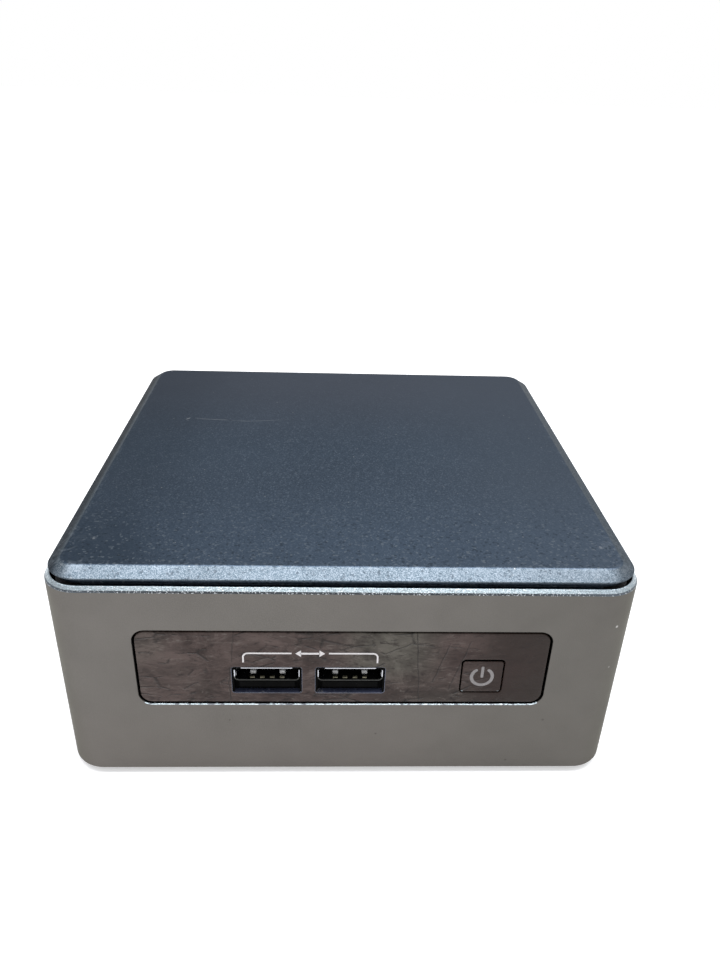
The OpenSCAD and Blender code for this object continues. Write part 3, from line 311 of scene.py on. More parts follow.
def make_bezel():
    """Glossy dark panel under a slack protective film: cloudy, with fine creases."""
    g = Graph("bezel")
    x, _, z = g.axes()
    cloud = g.noise(150, 5, 0.68, 0.8, g.stretch(0.7, 1, 1.3, (0, -0.5, 0)))
    smear = g.noise(420, 4, 0.7, 1.0, g.stretch(0.45, 1, 1.4, (0, -0.6, 0)))
    area = g.noise(38, 2, 0.5, 0.5)
    green = g.times(g.ease(g.far(g.minus(x, 0.009)), 0.004, 0.012, 1, 0), g.span(z, 0.023, 0.029))
    dark = g.mix(g.span(area, 0.4, 0.6), (0.022, 0.012, 0.010), (0.016, 0.012, 0.009))
    haze = g.mix(g.most(green, g.span(area, 0.56, 0.70, 0, 0.5)), (0.078, 0.055, 0.049),
                 (0.084, 0.076, 0.063))
    # Little haze on the right end and low down beside the button
    right = g.ease(x, 0.022, 0.033, 1, 0.06)
    low = g.most(g.ease(z, 0.0220, 0.0265, 0.4, 1), g.ease(x, 0.008, 0.002))
    drift = g.plus(g.times(cloud, 1.5), g.times(area, 0.7))
    much = g.times(g.times(right, low), g.span(drift, 0.86, 1.34, 0.05, 1))
    g.base = g.mix(much, dark, haze)
    streak = g.span(smear, 0.58, 0.74)
    g.lay(g.times(streak, g.times(right, 0.55)), (0.130, 0.108, 0.096))
    g.lay(g.span(smear, 0.46, 0.30, 0, 0.9), (0.012, 0.007, 0.006))
    fleck = g.noise(900, 3, 0.65, 0.8, g.stretch(0.5, 1, 1.5, (0, -0.6, 0)))
    g.lay(g.times(g.span(fleck, 0.60, 0.72), g.times(right, 0.6)), (0.120, 0.104, 0.093))
    g.lay(g.span(fleck, 0.40, 0.28, 0, 0.85), (0.012, 0.008, 0.007))
    # Wrinkles: short torn strokes that mostly rise to the right, then the long creases
    edge = g.edges(240, g.stretch(0.6, 1, 1.4, (0, -0.65, 0)))
    torn = g.times(g.span(edge, 0.0, 0.07, 1, 0), g.span(g.noise(210, 4, 0.65), 0.50, 0.58))
    torn = g.times(torn, right)
    for (x0, z0), (x1, z1), wide, deep in CREASES:
        dx, dz = (x1 - x0) * MM, (z1 - z0) * MM
        size = hypot(dx, dz)
        off = g.plus(g.times(g.minus(x, x0 * MM), dz / size),
                     g.times(g.minus(z, z0 * MM), -dx / size))
        t = g.plus(g.times(g.minus(x, x0 * MM), dx / size / size),
                   g.times(g.minus(z, z0 * MM), dz / size / size))
        off = g.far(g.plus(off, g.times(g.minus(g.noise(300, 2), 0.5), 0.0009)))
        near = g.span(off, wide * 0.4 * MM, wide * 1.8 * MM, deep, 0)
        near = g.times(near, g.span(g.far(g.minus(t, 0.5)), 0.45, 0.5, 1, 0))
        torn = g.most(torn, near)
    g.lay(g.ease(x, 0.022, 0.030, 0, 0.6), g.mix(0.5, g.base, (0.018, 0.009, 0.006)))
    g.lay(g.times(torn, 0.8), (0.008, 0.006, 0.005))
    dust_on(g, 0.8, 520, (0.42, 0.40, 0.38))
    gloss = g.span(cloud, 0.3, 0.7, 0.14, 0.36)
    bump = g.bump(g.noise(420, 4, 0.6, 0.6), 0.0002, 0.2, g.bump(torn, 0.0002, 0.5))
    return g.set(Roughness=gloss, Specular_IOR_Level=0.16, Normal=bump)


def make_steel(name, colour, rough, streak=(1, 1, 1), tone=0.3):
    g = Graph(name)
    fine = g.noise(900, 4, 0.6, at=g.stretch(*streak))
    slow = g.noise(140, 3, 0.6, 0.4)
    stain = g.noise(500, 5, 0.7, 0.6)
    g.base = g.mix(g.span(slow, 0.3, 0.7), tint(colour, 1 - tone * 0.6), tint(colour, 1 + tone * 0.3))
    g.lay(g.span(stain, 0.6, 0.78, 0, tone), tint(colour, 0.45))
    gloss = g.plus(g.span(fine, 0.3, 0.7, rough * 0.7, rough * 1.3), g.span(slow, 0.3, 0.7, -0.03, 0.05))
    return g.set(Metallic=1.0, Roughness=gloss, Normal=g.bump(fine, 0.00004, 0.3))


def make_board(name, colour):
    """Circuit board: solder mask with traces, filled vias and a faint weave under it."""
    g = Graph(name)
    brick = g.add("ShaderNodeTexBrick", {
        "Vector": g.stretch(1, 1, 0.0), "Scale": 130.0, "Mortar Size": 0.05, "Brick Width": 0.9,
        "Row Height": 0.22, "Color1": (0, 0, 0, 1), "Color2": (0.35, 0.35, 0.35, 1),
        "Mortar": (1, 1, 1, 1)}, offset=0.37, squash=0.6)
    lines = g.span(brick.outputs["Fac"], 0.2, 0.8)
    patch = g.span(g.edges(42, g.stretch(1, 1, 0)), 0.03, 0.06)
    near = g.cells(330, "Distance", at=g.stretch(1, 1, 0))
    via = g.span(near, 0.16, 0.22, 1, 0)
    weave = g.noise(2400, 1, at=g.stretch(1, 0.12, 1))
    g.base = g.mix(g.span(g.noise(70, 3), 0.35, 0.65), tint(colour, 0.75), tint(colour, 1.15))
    g.lay(g.times(lines, g.times(patch, 0.75)), tint(colour, 2.1))
    g.lay(g.span(weave, 0.45, 0.7, 0, 0.18), tint(colour, 1.7))
    g.lay(g.times(via, 0.8), (0.42, 0.33, 0.16))
    rough = g.span(g.noise(300, 3), 0.3, 0.7, 0.28, 0.42)
    return g.set(Roughness=rough, Metallic=g.times(via, 0.7),
                 Normal=g.bump(g.plus(lines, via), 0.00003, 0.5))


def make_print():
    g = Graph("white_print")
    ink = g.noise(2600, 3, 0.7)
    g.base = g.mix(g.span(ink, 0.3, 0.75), (0.50, 0.48, 0.48), (0.66, 0.63, 0.63))
    return g.set(Roughness=g.span(ink, 0.3, 0.7, 0.35, 0.6),
                 Normal=g.bump(ink, 0.00003, 0.3))


COPPER, GOLD = (0.72, 0.36, 0.22), (0.83, 0.62, 0.30)
FINISH = {
    "sleeve": make_sleeve(), "rim": make_rim(), "lid": make_lid(), "bezel": make_bezel(),
    "print": make_print(),
    "board_green": make_board("board_green", (0.010, 0.085, 0.045)),
    "cpu_green": make_board("cpu_green", (0.012, 0.10, 0.05)),
}
# Name, colour and roughness, then grain, variation, dust, gloss level and depth of the grain
WORN = [
    ("icon", (0.172, 0.160, 0.160), 0.5, 2500, 0.06),
    ("deck_black", (0.022, 0.022, 0.024), 0.55, 2200, 0.25, 0.06, 0.5, 0.03),
    ("rear_black", (0.020, 0.020, 0.021), 0.48, 2600, 0.25, 0.06, 0.5, 0.03),
    ("cover_black", (0.026, 0.026, 0.028), 0.5, 2400, 0.25, 0.06, 0.5, 0.03),
    ("rubber", (0.020, 0.020, 0.020), 0.8, 1800, 0.25, 0.12, 0.3),
    ("chip_black", (0.022, 0.022, 0.024), 0.45, 2600),
    ("fan_black", (0.022, 0.022, 0.023), 0.42, 2000),
    ("socket_black", (0.020, 0.020, 0.020), 0.38, 2400),
    ("cable_black", (0.022, 0.022, 0.022), 0.45, 1500),
    # Painted shade: a near-black for gaps, rebates and openings, also used on the front sockets' tongues
    ("void_black", (0.0022, 0.0022, 0.0022), 0.7, 2400, 0.25, 0.0, 0.03),
    # Glossy black with a painted blue reflection, for the rims of the front sockets' holes
    ("gloss_black", (0.030, 0.035, 0.060), 0.25, 900, 0.5, 0.5, 0.8, 0.08),
    ("tongue_black", (0.012, 0.012, 0.013), 0.35, 2400, 0.25, 0.03),
    ("header_ivory", (0.62, 0.58, 0.47), 0.45, 3000, 0.1),
    ("drive_grey", (0.050, 0.050, 0.055), 0.4, 2400),
]
# Name, colour and roughness, then the grain's stretch and how uneven the tone is
STEEL = [
    ("screw_steel", (0.50, 0.50, 0.52), 0.3),
    ("screw_black", (0.09, 0.09, 0.095), 0.35),
    ("brass_nickel", (0.60, 0.50, 0.28), 0.28),
    ("copper", COPPER, 0.34, (1, 0.1, 1), 0.4),
    ("fin_metal", (0.76, 0.76, 0.77), 0.3, (0.2, 1, 1)),
    ("fan_steel", (0.55, 0.55, 0.57), 0.32, (1, 0.08, 1)),
    ("winding", (0.55, 0.24, 0.10), 0.3, (1, 1, 14), 0.5),
    ("latch_steel", (0.62, 0.62, 0.64), 0.25, (1, 0.1, 1)),
    ("antenna_gold", GOLD, 0.3),
    ("port_metal", (0.56, 0.57, 0.60), 0.26, (1, 0.15, 1)),
    # Dull, dark gold for the front sockets' contact pads
    ("pad_worn", (0.20, 0.185, 0.13), 0.5, (1, 1, 1), 0.7),
    ("ring_dull", (0.085, 0.085, 0.080), 0.5),
    ("pin_metal", (0.55, 0.55, 0.54), 0.5, (1, 1, 1), 0.7),
    ("contact_gold", GOLD, 0.25),
    ("cell_steel", (0.66, 0.66, 0.67), 0.22),
    ("bay_steel", (0.55, 0.56, 0.57), 0.36, (1, 1, 1), 0.45),
]
FINISH.update({row[0]: worn(*row) for row in WORN})
FINISH.update({row[0]: make_steel(*row) for row in STEEL})

# ---- mesh tools ----


def round_rect(w, d, r, n=8, cx=0.0, cy=0.0):
    """Rectangle with round corners, anticlockwise from the +x side of the first corner."""
    pts = []
    for k, (sx, sy) in enumerate(((1, 1), (-1, 1), (-1, -1), (1, -1))):
        for i in range(n + 1):
            a = radians(90 * k + 90 * i / n)
            pts.append(polar(cx + sx * (w / 2 - r), cy + sy * (d / 2 - r), r, a))
    return pts


def polar(cx, cy, r, a):
    return cx + r * cos(a), cy + r * sin(a)


def circle(r, n=40, cx=0.0, cy=0.0):
    return [polar(cx, cy, r, 2 * pi * i / n) for i in range(n)]


def oriented(loop, positive):
    area = sum(a[0] * b[1] - b[0] * a[1] for a, b in zip(loop, loop[1:] + loop[:1]))
    return list(loop) if (area > 0) == positive else list(reversed(loop))


def inset(loop, d):
    """Moves a loop to its left by d, so an outline shrinks and a hole grows."""
    out, n = [], len(loop)
    for i in range(n):
        p, c, q = Vector(loop[i - 1]), Vector(loop[i]), Vector(loop[(i + 1) % n])
        a, b = (c - p).normalized(), (q - c).normalized()
        m = Vector((-a.y - b.y, a.x + b.x)) / max(0.3, 1 + a.dot(b))
        out.append((c.x + m.x * d, c.y + m.y * d))
    return out


ALONG = {
    "z": lambda u, v, w: (u, v, w),
    "y": lambda u, v, w: (u, w, v),
    "x": lambda u, v, w: (w, u, v),
}


class Shape:
    """Gathers vertices and faces in millimetres, then becomes one object."""

    def __init__(self):
        self.v, self.f, self.mi, self.mark = [], [], [], 0

    def ring(self, pts):
        self.v += [tuple(p) for p in pts]
        return list(range(len(self.v) - len(pts), len(self.v)))

    def face(self, ids):
        self.f.append(tuple(ids))
        self.mi.append(self.mark)

    def band(self, a, b, skip=()):
        n = len(a)
        for i in range(n):
            if i not in skip:
                self.face((a[i], a[(i + 1) % n], b[(i + 1) % n], b[i]))

    def fill(self, rings, flat):
        """Closes a flat area between an outline and its holes; flat gives each ring's 2-D points."""
        ids = [i for ring in rings for i in ring]
        if len(rings) == 1 and len(ids) < 400:
            self.face(ids)
            return
        for t in tessellate_polygon([[Vector((*p, 0)) for p in loop] for loop in flat]):
            self.face([ids[k] for k in t])

    def drawn(self, flat, w, put, d=0.0):
        """One ring of a flat loop, moved in by d, with the loop itself."""
        flat = inset(flat, d) if d > 1e-6 else flat
        return self.ring([put(u, v, w) for u, v in flat]), flat

    def extrude(self, outline, holes, w0, w1, axis="z", b0=0.0, b1=0.0, hb0=None, hb1=None, seg=3):
        """Solid between w0 and w1, its rims rounded by b0 and b1, and its holes' rims by hb0 and hb1."""
        put = ALONG[axis]
        hb0, hb1 = b0 if hb0 is None else hb0, b1 if hb1 is None else hb1
        caps = ([], []), ([], [])
        for k, loop in enumerate([outline, *holes]):
            loop = oriented(loop, k == 0)
            r0, r1 = (b0, b1) if k == 0 else (hb0, hb1)
            steps = []
            for r, w, way in ((r0, w0, 1), (r1, w1, -1)):
                arc = [(r * (1 - sin(t)), w + way * r * (1 - cos(t)))
                       for t in (pi / 2 * i / seg for i in range(seg + 1))] if r else [(0.0, w)]
                steps += arc if way > 0 else arc[::-1]
            rings = [self.drawn(loop, w, put, d) for d, w in steps]
            for a, b in zip(rings, rings[1:]):
                self.band(a[0], b[0])
            for end, got in ((0, rings[0]), (1, rings[-1])):
                caps[end][0].append(got[0])
                caps[end][1].append(got[1])
        for ids, flat in caps:
            self.fill(ids, flat)
        return self

    def box(self, x, y, z, b=0.12):
        (x0, x1), (y0, y1), (z0, z1) = x, y, z
        b = min(b, (x1 - x0) * 0.3, (y1 - y0) * 0.3, (z1 - z0) * 0.3)
        c = b * 0.6
        return self.extrude([(x0 + c, y0), (x1 - c, y0), (x1, y0 + c), (x1, y1 - c),
                             (x1 - c, y1), (x0 + c, y1), (x0, y1 - c), (x0, y0 + c)], [], z0, z1, b0=b,
                             b1=b, seg=2)

    def rod(self, p, r, w0, w1, axis="z", b=0.15, hole=0.0, n=32):
        holes = [circle(hole, n, *p)] if hole else []
        b = min(b, (w1 - w0) * 0.4, (r - hole) * 0.4)
        return self.extrude(circle(r, n, *p), holes, w0, w1, axis, b, b, seg=2)

    def lathe(self, profile, centre=(0, 0), n=40, axis="z"):
        """Closed (r, w) profile turned round an axis."""
        put = ALONG[axis]
        rings = [self.ring([put(u, v, w) for u, v in circle(r, n, *centre)]) for r, w in profile]
        for a, b in zip(rings, rings[1:] + rings[:1]):
            self.band(a, b)
        return self

    def make(self, name, body, finishes, replaces=(), slot=None, sharp=38.0, weld=0.0005, weigh=True):
        """Turns the shape into an object that rides on a body."""
        mesh = bpy.data.meshes.new(name)
        mesh.from_pydata([(x * MM, y * MM, z * MM) for x, y, z in self.v], [], self.f)
        for f in finishes if isinstance(finishes, list) else [finishes]:
            mesh.materials.append(FINISH[f])
        mesh.polygons.foreach_set("material_index", self.mi)
        bm = bmesh.new()
        bm.from_mesh(mesh)
        bmesh.ops.remove_doubles(bm, verts=bm.verts, dist=weld * MM)
        bmesh.ops.dissolve_degenerate(bm, edges=bm.edges, dist=0.0002 * MM)
        bmesh.ops.recalc_face_normals(bm, faces=bm.faces)
        for f in bm.faces:
            f.smooth = True
        for e in bm.edges:
            e.smooth = len(e.link_faces) != 2 or e.calc_face_angle(0) < radians(sharp)
        bm.to_mesh(mesh)
        bm.free()
        obj = placed(name, mesh)
        if weigh:
            mod = obj.modifiers.new("weighted", "WEIGHTED_NORMAL")
            mod.keep_sharp = True
            mod.weight = 80
        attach(obj, body)
        if replaces:
            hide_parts(*replaces)
            slot or SLOT_OF[replaces[0]]
        return obj


def placed(name, data):
    obj = bpy.data.objects.new(name, data)
    bpy.context.scene.collection.objects.link(obj)
    return obj


def box_of(node):
    """A node's box in millimetres, as low and high corners."""
    lo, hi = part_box(node)
    return [c / MM for c in lo], [c / MM for c in hi]


# ---- case ----

S_LO, S_HI = box_of("chassis_shell")
CASE_W, CASE_D = S_HI[0] - S_LO[0], S_HI[1] - S_LO[1]
FRONT, REAR, SIDE = S_LO[1], S_HI[1], S_HI[0]
BASE_Z, RIM_Z = S_LO[2], S_HI[2]
WALL, CORNER, N = 1.6, 7.5, 14
VENT_COUNT, VENT_PITCH, VENT_Z = 14, 4.4, 37
REAR_W, REAR_H, REAR_Z = 86.8, 33, 26.9
LEDGE_Z = (43.9, 45.1)
POST_R, POST_HOLE, POST_FOOT = 3.8, 1.55, 3.3
POSTS = [(x, y) for x in (-48, 48) for y in (-46, 46)]

P_LO, P_HI = box_of("front_bezel")
FACE, PANEL_Z = P_LO[1], (P_LO[2] + P_HI[2]) / 2
PANEL_W, PANEL_H, PANEL_R = P_HI[0] - P_LO[0] - 4, P_HI[2] - P_LO[2] - 4, 2.6
PANEL_T = 2.6


def sleeve():
    s = Shape()

    def at(d, z):
        return s.ring([(x, y, z) for x, y in round_rect(CASE_W - 2 * d, CASE_D - 2 * d, CORNER - d, N)])

    straight = [N, 2 * N + 1, 3 * N + 2, 4 * N + 3]  # back, left, front, right
    low, top_out, top_in = BASE_Z + 0.35, RIM_Z - 0.98, RIM_Z - 1.4
    profile = [(0, low), (0, top_out), (0.03, RIM_Z - 0.88), (0.12, RIM_Z - 0.76), (0.72, RIM_Z - 0.14),
               (0.82, RIM_Z - 0.05), (0.95, RIM_Z), (1.05, RIM_Z - 0.03), (1.1, RIM_Z - 0.12),
               (1.1, RIM_Z - 1.2), (1.2, RIM_Z - 1.3), (WALL, top_in), (WALL, low),
               (1.5, BASE_Z + 0.1), (1.25, BASE_Z), (0.35, BASE_Z), (0.1, BASE_Z + 0.1)]
    rings = [at(d, z) for d, z in profile]
    for i, (a, b) in enumerate(zip(rings, rings[1:] + rings[:1])):
        # The top bevel takes the rim finish; the rebate inside it is painted shade black
        s.mark = 1 if 1 <= i <= 7 else 2 if 8 <= i <= 10 else 0
        s.band(a, b, straight if i in (0, 11) else ())
    s.mark = 0
    vent_x = [(i - (VENT_COUNT - 1) / 2) * VENT_PITCH for i in range(VENT_COUNT)]
    vents = [round_rect(2, 9, 0.98, 6, x, VENT_Z) for x in vent_x]
    lock = round_rect(7, 3, 0.6, 6, 38, 12)
    walls = [
        ("y", FRONT, 1, CASE_W, [round_rect(PANEL_W, PANEL_H, PANEL_R, 10, 0, PANEL_Z)], 0.24),
        ("y", REAR, -1, CASE_W, [round_rect(REAR_W, REAR_H, 2, 8, 0, REAR_Z)], 0.18),
        ("x", -SIDE, 1, CASE_D, vents + [lock], 0.15),
        ("x", SIDE, -1, CASE_D, vents, 0.15),
    ]
    for axis, w0, way, width, holes, b in walls:
        put, half = ALONG[axis], width / 2 - CORNER
        for w, z1, first in ((w0, top_out, True), (w0 + way * WALL, top_in, False)):
            flat = [[(-half, low), (half, low), (half, z1), (-half, z1)]]
            flat += [inset(oriented(h, False), b) if first else oriented(h, False) for h in holes]
            s.fill([s.drawn(loop, w, put)[0] for loop in flat], flat)
        for h in holes:
            h = oriented(h, False)
            steps = [(b * (1 - sin(t)), w0 + way * b * (1 - cos(t))) for t in (0, pi / 4, pi / 2)]
            steps.append((0, w0 + way * WALL))
            rings = [s.drawn(h, w, put, d)[0] for d, w in steps]
            for step, (a, b2) in enumerate(zip(rings, rings[1:])):
                start = len(s.f)
                s.band(a, b2)
                # In the front opening the innermost wall is painted shade black, and the floor takes the rim
                # finish
                if axis == "y" and way == 1:
                    for k in range(start, len(s.f)):
                        high = max(s.v[i][2] for i in s.f[k])
                        floor = high < PANEL_Z - PANEL_H / 2 + 0.5
                        s.mi[k] = 2 if step == len(rings) - 2 else int(floor)
    s.make("sleeve", "case", ["sleeve", "rim", "void_black"], ["chassis_shell"])
    # Inner ledge, posts and ribs, cast with the sleeve
    t = Shape()
    inner = lambda d: round_rect(CASE_W - 2 * WALL - 2 * d, CASE_D - 2 * WALL - 2 * d,
                                 CORNER - WALL - d * 0.5, N)
    t.extrude(inner(-0.2), [inner(3)], *LEDGE_Z, b0=0, b1=0, hb0=0.25, hb1=0.25)
    for x, y in POSTS:
        t.rod((x, y), POST_R, POST_FOOT, 44.2, b=0.3, hole=POST_HOLE)
        sx, sy = copysign(1, x), copysign(1, y)
        t.box(sorted((x + sx * 3, sx * (SIDE - WALL + 0.2))), (y - 0.8, y + 0.8), (3.5, 44.4), 0.2)
        t.box((x - 0.8, x + 0.8), sorted((y + sy * 3, sy * (REAR - WALL + 0.2))), (3.5, 44.4), 0.2)
    t.make("sleeve_posts", "case", "sleeve", slot="sleeve")


LID_R, NOTCH_PITCH, NOTCH_W = 6.8, 12, 8
PEGS = [(x, y) for x in (-40, 40) for y in (-38, 38)]
RIB_PITCH = 17


def lid():
    s = Shape()
    lo, hi = box_of("top_lid")
    w, d, top = hi[0] - lo[0], hi[1] - lo[1], hi[2]
    under, skirt, roof = top - 2.3, top - 4.4, top - 2.0

    def at(i, z):
        r = (LID_R - i) * (0.8 if i > 2.4 else 1)
        return s.ring([(x, y, z) for x, y in round_rect(w - 2 * i, d - 2 * i, r, N)])

    profile = [(2.98, top), (2.84, top - 0.015), (2.71, top - 0.055), (2.57, top - 0.125), (0.16, top - 1.42),
               (0.06, top - 1.49), (0, top - 1.58), (0.02, top - 1.68), (0.12, top - 1.78), (0.5, top - 2.1),
               (0.8, under), (1.2, under), (1.2, skirt + 1.25), (1.32, skirt + 1.15), (2.58, skirt + 1.15),
               (2.7, skirt + 1.25), (2.7, roof)]
    rings = [at(i, z) for i, z in profile]
    for a, b in zip(rings, rings[1:]):
        s.band(a, b)
    s.face(rings[0])
    s.face(rings[-1])
    # Skirt between its air notches: solid along the front, posts along the other sides
    outer = lambda x0, x1, y0, y1: s.box((x0, x1), (y0, y1), (skirt, skirt + 1.2), 0.15)
    sx, sy = w / 2 - 1.2, d / 2 - 1.2
    outer(-sx + 6, sx - 6, -sy, -sy + 1.5)
    for k in range(-3, 3):
        a, b = k * NOTCH_PITCH + NOTCH_W / 2, (k + 1) * NOTCH_PITCH - NOTCH_W / 2
        outer(-sx, -sx + 1.5, a, b)
        outer(sx - 1.5, sx, a, b)
        outer(a, b, sy - 1.5, sy)
    for x, y in PEGS:
        s.rod((x, y), 3.6, skirt + 0.3, roof + 0.3, b=0.2)
        s.lathe([(0.001, 44.2), (1.2, 44.2), (1.75, 44.45), (2, 45), (2, 47.2), (0.001, 47.2)], (x, y), 24)
        for a, b in ((0.5, 6), (6, 0.5)):
            s.box((x - a, x + a), (y - b, y + b), (roof - 1.1, roof + 0.2), 0.1)
    # Stiffening ribs under the lid
    for k in range(-2, 3):
        rib = (k * RIB_PITCH - 0.5, k * RIB_PITCH + 0.5)
        s.box(rib, (-48, 48), (roof - 0.7, roof + 0.2), 0.1)
        s.box((-49, 49), rib, (roof - 0.7, roof + 0.2), 0.1)
    s.make("lid_panel", "lid", "lid", ["top_lid"])


sleeve()
lid()

# ---- front panel ----

USB_BOX = [box_of("usb_shell_front_" + side) for side in ("left", "right")]
USB_X = [(lo[0] + hi[0]) / 2 for lo, hi in USB_BOX]
USB_Z = USB_BOX[0][0][2] + 2.85
CAP_LO, CAP_HI = box_of("power_button")
BUTTON = ((CAP_LO[0] + CAP_HI[0]) / 2, (CAP_LO[2] + CAP_HI[2]) / 2)
CAP_W, CAP_H = CAP_HI[0] - CAP_LO[0] - 2, CAP_HI[2] - CAP_LO[2] - 2
CUT_Z, GAP = USB_Z + 0.36, 0.42
HOLES = [(x, CUT_Z, 6.9, 3.3, 0.5) for x in USB_X] + [(*BUTTON, CAP_W / 2 + 0.3, CAP_H / 2 + 0.3, 0.9)]


def clearance(x, z):
    """Distance from a point on the panel to the nearest of its holes, below zero inside one."""
    best = 1e9
    for cx, cz, w, h, r in HOLES:
        u, v = abs(x - cx) - w + r, abs(z - cz) - h + r
        best = min(best, hypot(max(u, 0), max(v, 0)) + min(max(u, v), 0) - r)
    return best


def film_height(x, z):
    """How far the slack film stands off the panel, in millimetres."""
    h = 0.030 * noise.noise(Vector((x * 0.16 + z * 0.22, z * 0.34 - x * 0.05, 3)))
    h += 0.016 * noise.noise(Vector((x * 0.5 + z * 0.55, z * 0.9 - x * 0.2, 8)))
    ridge = 1 - abs(noise.noise(Vector((x * 0.13 - z * 0.16, z * 0.3 + x * 0.09, 15)))) * 7
    h += 0.05 * max(0.0, ridge) ** 2
    for (x0, z0), (x1, z1), _, deep in CREASES:
        run = Vector((x1 - x0, z1 - z0))
        t = max(0.0, min(1.0, Vector((x - x0, z - z0)).dot(run) / run.length_squared))
        away = hypot(x - x0 - run.x * t, z - z0 - run.y * t)
        h += 0.05 * deep * exp(-(away / 0.3) ** 2)
    return h


def bezel():
    s = Shape()
    outline = oriented(round_rect(PANEL_W - 2 * GAP, PANEL_H - 2 * GAP, 2.2, 10, 0, PANEL_Z), True)
    cuts = [oriented(round_rect(2 * w, 2 * h, r, 6, x, z), False) for x, z, w, h, r in HOLES]
    put = ALONG["y"]
    front, back = [], []
    for k, loop in enumerate([outline, *cuts]):
        r = 0.18 if k == 0 else 0.12
        s.mark = 1 if 0 < k < 3 else 0
        steps = [(r * (1 - sin(t)), FACE + 0.04 + r * (1 - cos(t))) for t in (0, 0.52, 1.05, pi / 2)]
        steps.append((0, FACE + PANEL_T))
        rings = [s.drawn(loop, w, put, d) for d, w in steps]
        for a, c in zip(rings, rings[1:]):
            s.band(a[0], c[0])
        front.append(rings[0])
        back.append(rings[-1])
    s.mark = 0
    s.fill([r[0] for r in back], [r[1] for r in back])
    # The face itself: a fine net, pushed out by the film's slack, still on the rim
    pts, edges = [], []
    for ids, flat in front:
        n0 = len(pts)
        pts += [Vector(p) for p in flat]
        edges += [(n0 + i, n0 + (i + 1) % len(flat)) for i in range(len(flat))]
    rng, pitch = random.Random(4), 0.62
    half_w, half_h = PANEL_W / 2 - GAP, PANEL_H / 2 - GAP
    nx, nz = int(2 * half_w / pitch), int(2 * half_h / pitch)
    for i in range(nx + 1):
        for j in range(nz + 1):
            x = -half_w + i * pitch + rng.uniform(-0.12, 0.12)
            z = PANEL_Z - half_h + j * pitch + rng.uniform(-0.12, 0.12)
            ex, ez = max(0, abs(x) - half_w + 2.25), max(0, abs(z - PANEL_Z) - half_h + 2.25)
            if hypot(ex, ez) < 1.8 and clearance(x, z) > 0.35:
                pts.append(Vector((x, z)))
    got = delaunay_2d_cdt(pts, edges, [], 0, 1e-5)
    net = []
    for p in got[0]:
        edge = min(half_w - abs(p.x), half_h - abs(p.y - PANEL_Z), clearance(p.x, p.y))
        soft = max(0.0, min(1.0, (edge - 0.16) / 0.9))
        net.append((p.x, FACE + 0.04 - 0.9 * soft * film_height(p.x, p.y), p.y))
    ids = s.ring(net)
    for tri in got[2]:
        cx, cz = (sum(got[0][k][a] for k in tri) / 3 for a in (0, 1))
        if clearance(cx, cz) > 0.1:
            s.face([ids[k] for k in tri])
    s.make("front_panel", "case", ["bezel", "gloss_black"], ["front_bezel"], sharp=50, weigh=False,
           weld=0.002)
    # A black flange behind the panel, seen in the gap round it and its holes: painted shade
    t = Shape()
    t.extrude(round_rect(PANEL_W + 4, PANEL_H + 4, PANEL_R, 8, 0, PANEL_Z), [inset(c, 0.1) for c in cuts],
              FRONT + 1.7, FACE + PANEL_T, "y", 0.15, 0.15, 0, 0)
    t.make("front_panel_flange", "case", "void_black", slot="bezel")


def ribbon(points, width):
    """Outline of a flat stroke along a polyline, in 2-D."""
    left, right = [], []
    for i, p in enumerate(points):
        a = Vector(points[max(i - 1, 0)])
        b = Vector(points[min(i + 1, len(points) - 1)])
        h = (b - a).normalized()
        m = Vector((-h.y, h.x)) * width / 2
        left.append((p[0] + m.x, p[1] + m.y))
        right.append((p[0] - m.x, p[1] - m.y))
    return left + right[::-1]


def printing():
    """White print on the panel: a bracket over both sockets and a pair of plain arrows."""
    s = Shape()
    w0, w1, line = FACE - 0.055, FACE + 0.03, 0.33
    zt, r = 32.72, 0.95

    def stroke(pts, width=line):
        s.extrude(ribbon(pts, width), [], w0, w1, "y")

    def corner(cx, cz, a0, a1):
        return [polar(cx, cz, r, radians(a0 + (a1 - a0) * i / 8)) for i in range(9)]

    stroke([(-19.7, 30.45)] + corner(-19.7 + r, zt - r, 180, 90) + [(-10.25, zt)])
    stroke([(-2.97, zt)] + corner(6.62 - r, zt - r, 90, 0) + [(6.62, 30.35)])
    z = zt - 0.04
    stroke([(-8.5, z), (-4.7, z)], 0.42)
    for cx, way in ((-8.4, -1), (-4.8, 1)):
        s.extrude([(cx + way * 1.1, z), (cx, z + 0.78), (cx, z - 0.78)], [], w0, w1, "y")
    s.make("port_print", "case", "print", slot="icon")


def button():
    face = CAP_LO[1]
    s = Shape()
    ring, bar = icon_outlines()
    s.extrude(round_rect(CAP_W, CAP_H - 0.2, 0.6, 6, BUTTON[0], BUTTON[1] - 0.1),
              [inset(oriented(ring, False), 0.02), inset(oriented(bar, False), 0.02)],
              face, face + 2.8, "y", 0.14, 0, 0.03, 0)
    # Its walls are painted shade black for the dark gap round it, and the bevel at two lower corners takes
    # the bright rim finish as a painted highlight
    for k, f in enumerate(s.f):
        ys, xs, zs = ([s.v[i][a] for i in f] for a in (1, 0, 2))
        if max(ys) > face + 0.2 and min(zs) > CAP_LO[2] + 0.9:
            s.mi[k] = 2
        off_centre = abs(sum(xs) / len(xs) - BUTTON[0])
        if max(ys) < face + 0.2 and max(zs) < CAP_LO[2] + 1.42 and off_centre > CAP_W / 2 - 0.55:
            s.mi[k] = 1
    s.extrude(round_rect(CAP_W + 2, CAP_H + 2, 0.6, 5, *BUTTON), [], face + 2.75, face + 3.55, "y", 0.1, 0.1)
    s.rod(BUTTON, 1.3, face + 3.3, CAP_HI[1], "y", 0.15)
    s.make("button_cap", "power_button", ["bezel", "rim", "void_black"], ["power_button"])
    t = Shape()
    for shape in (ring, bar):
        t.extrude(shape, [], face, face + 0.5, "y", 0.04, 0)
    t.make("button_icon", "power_button", "icon", ["power_icon"])


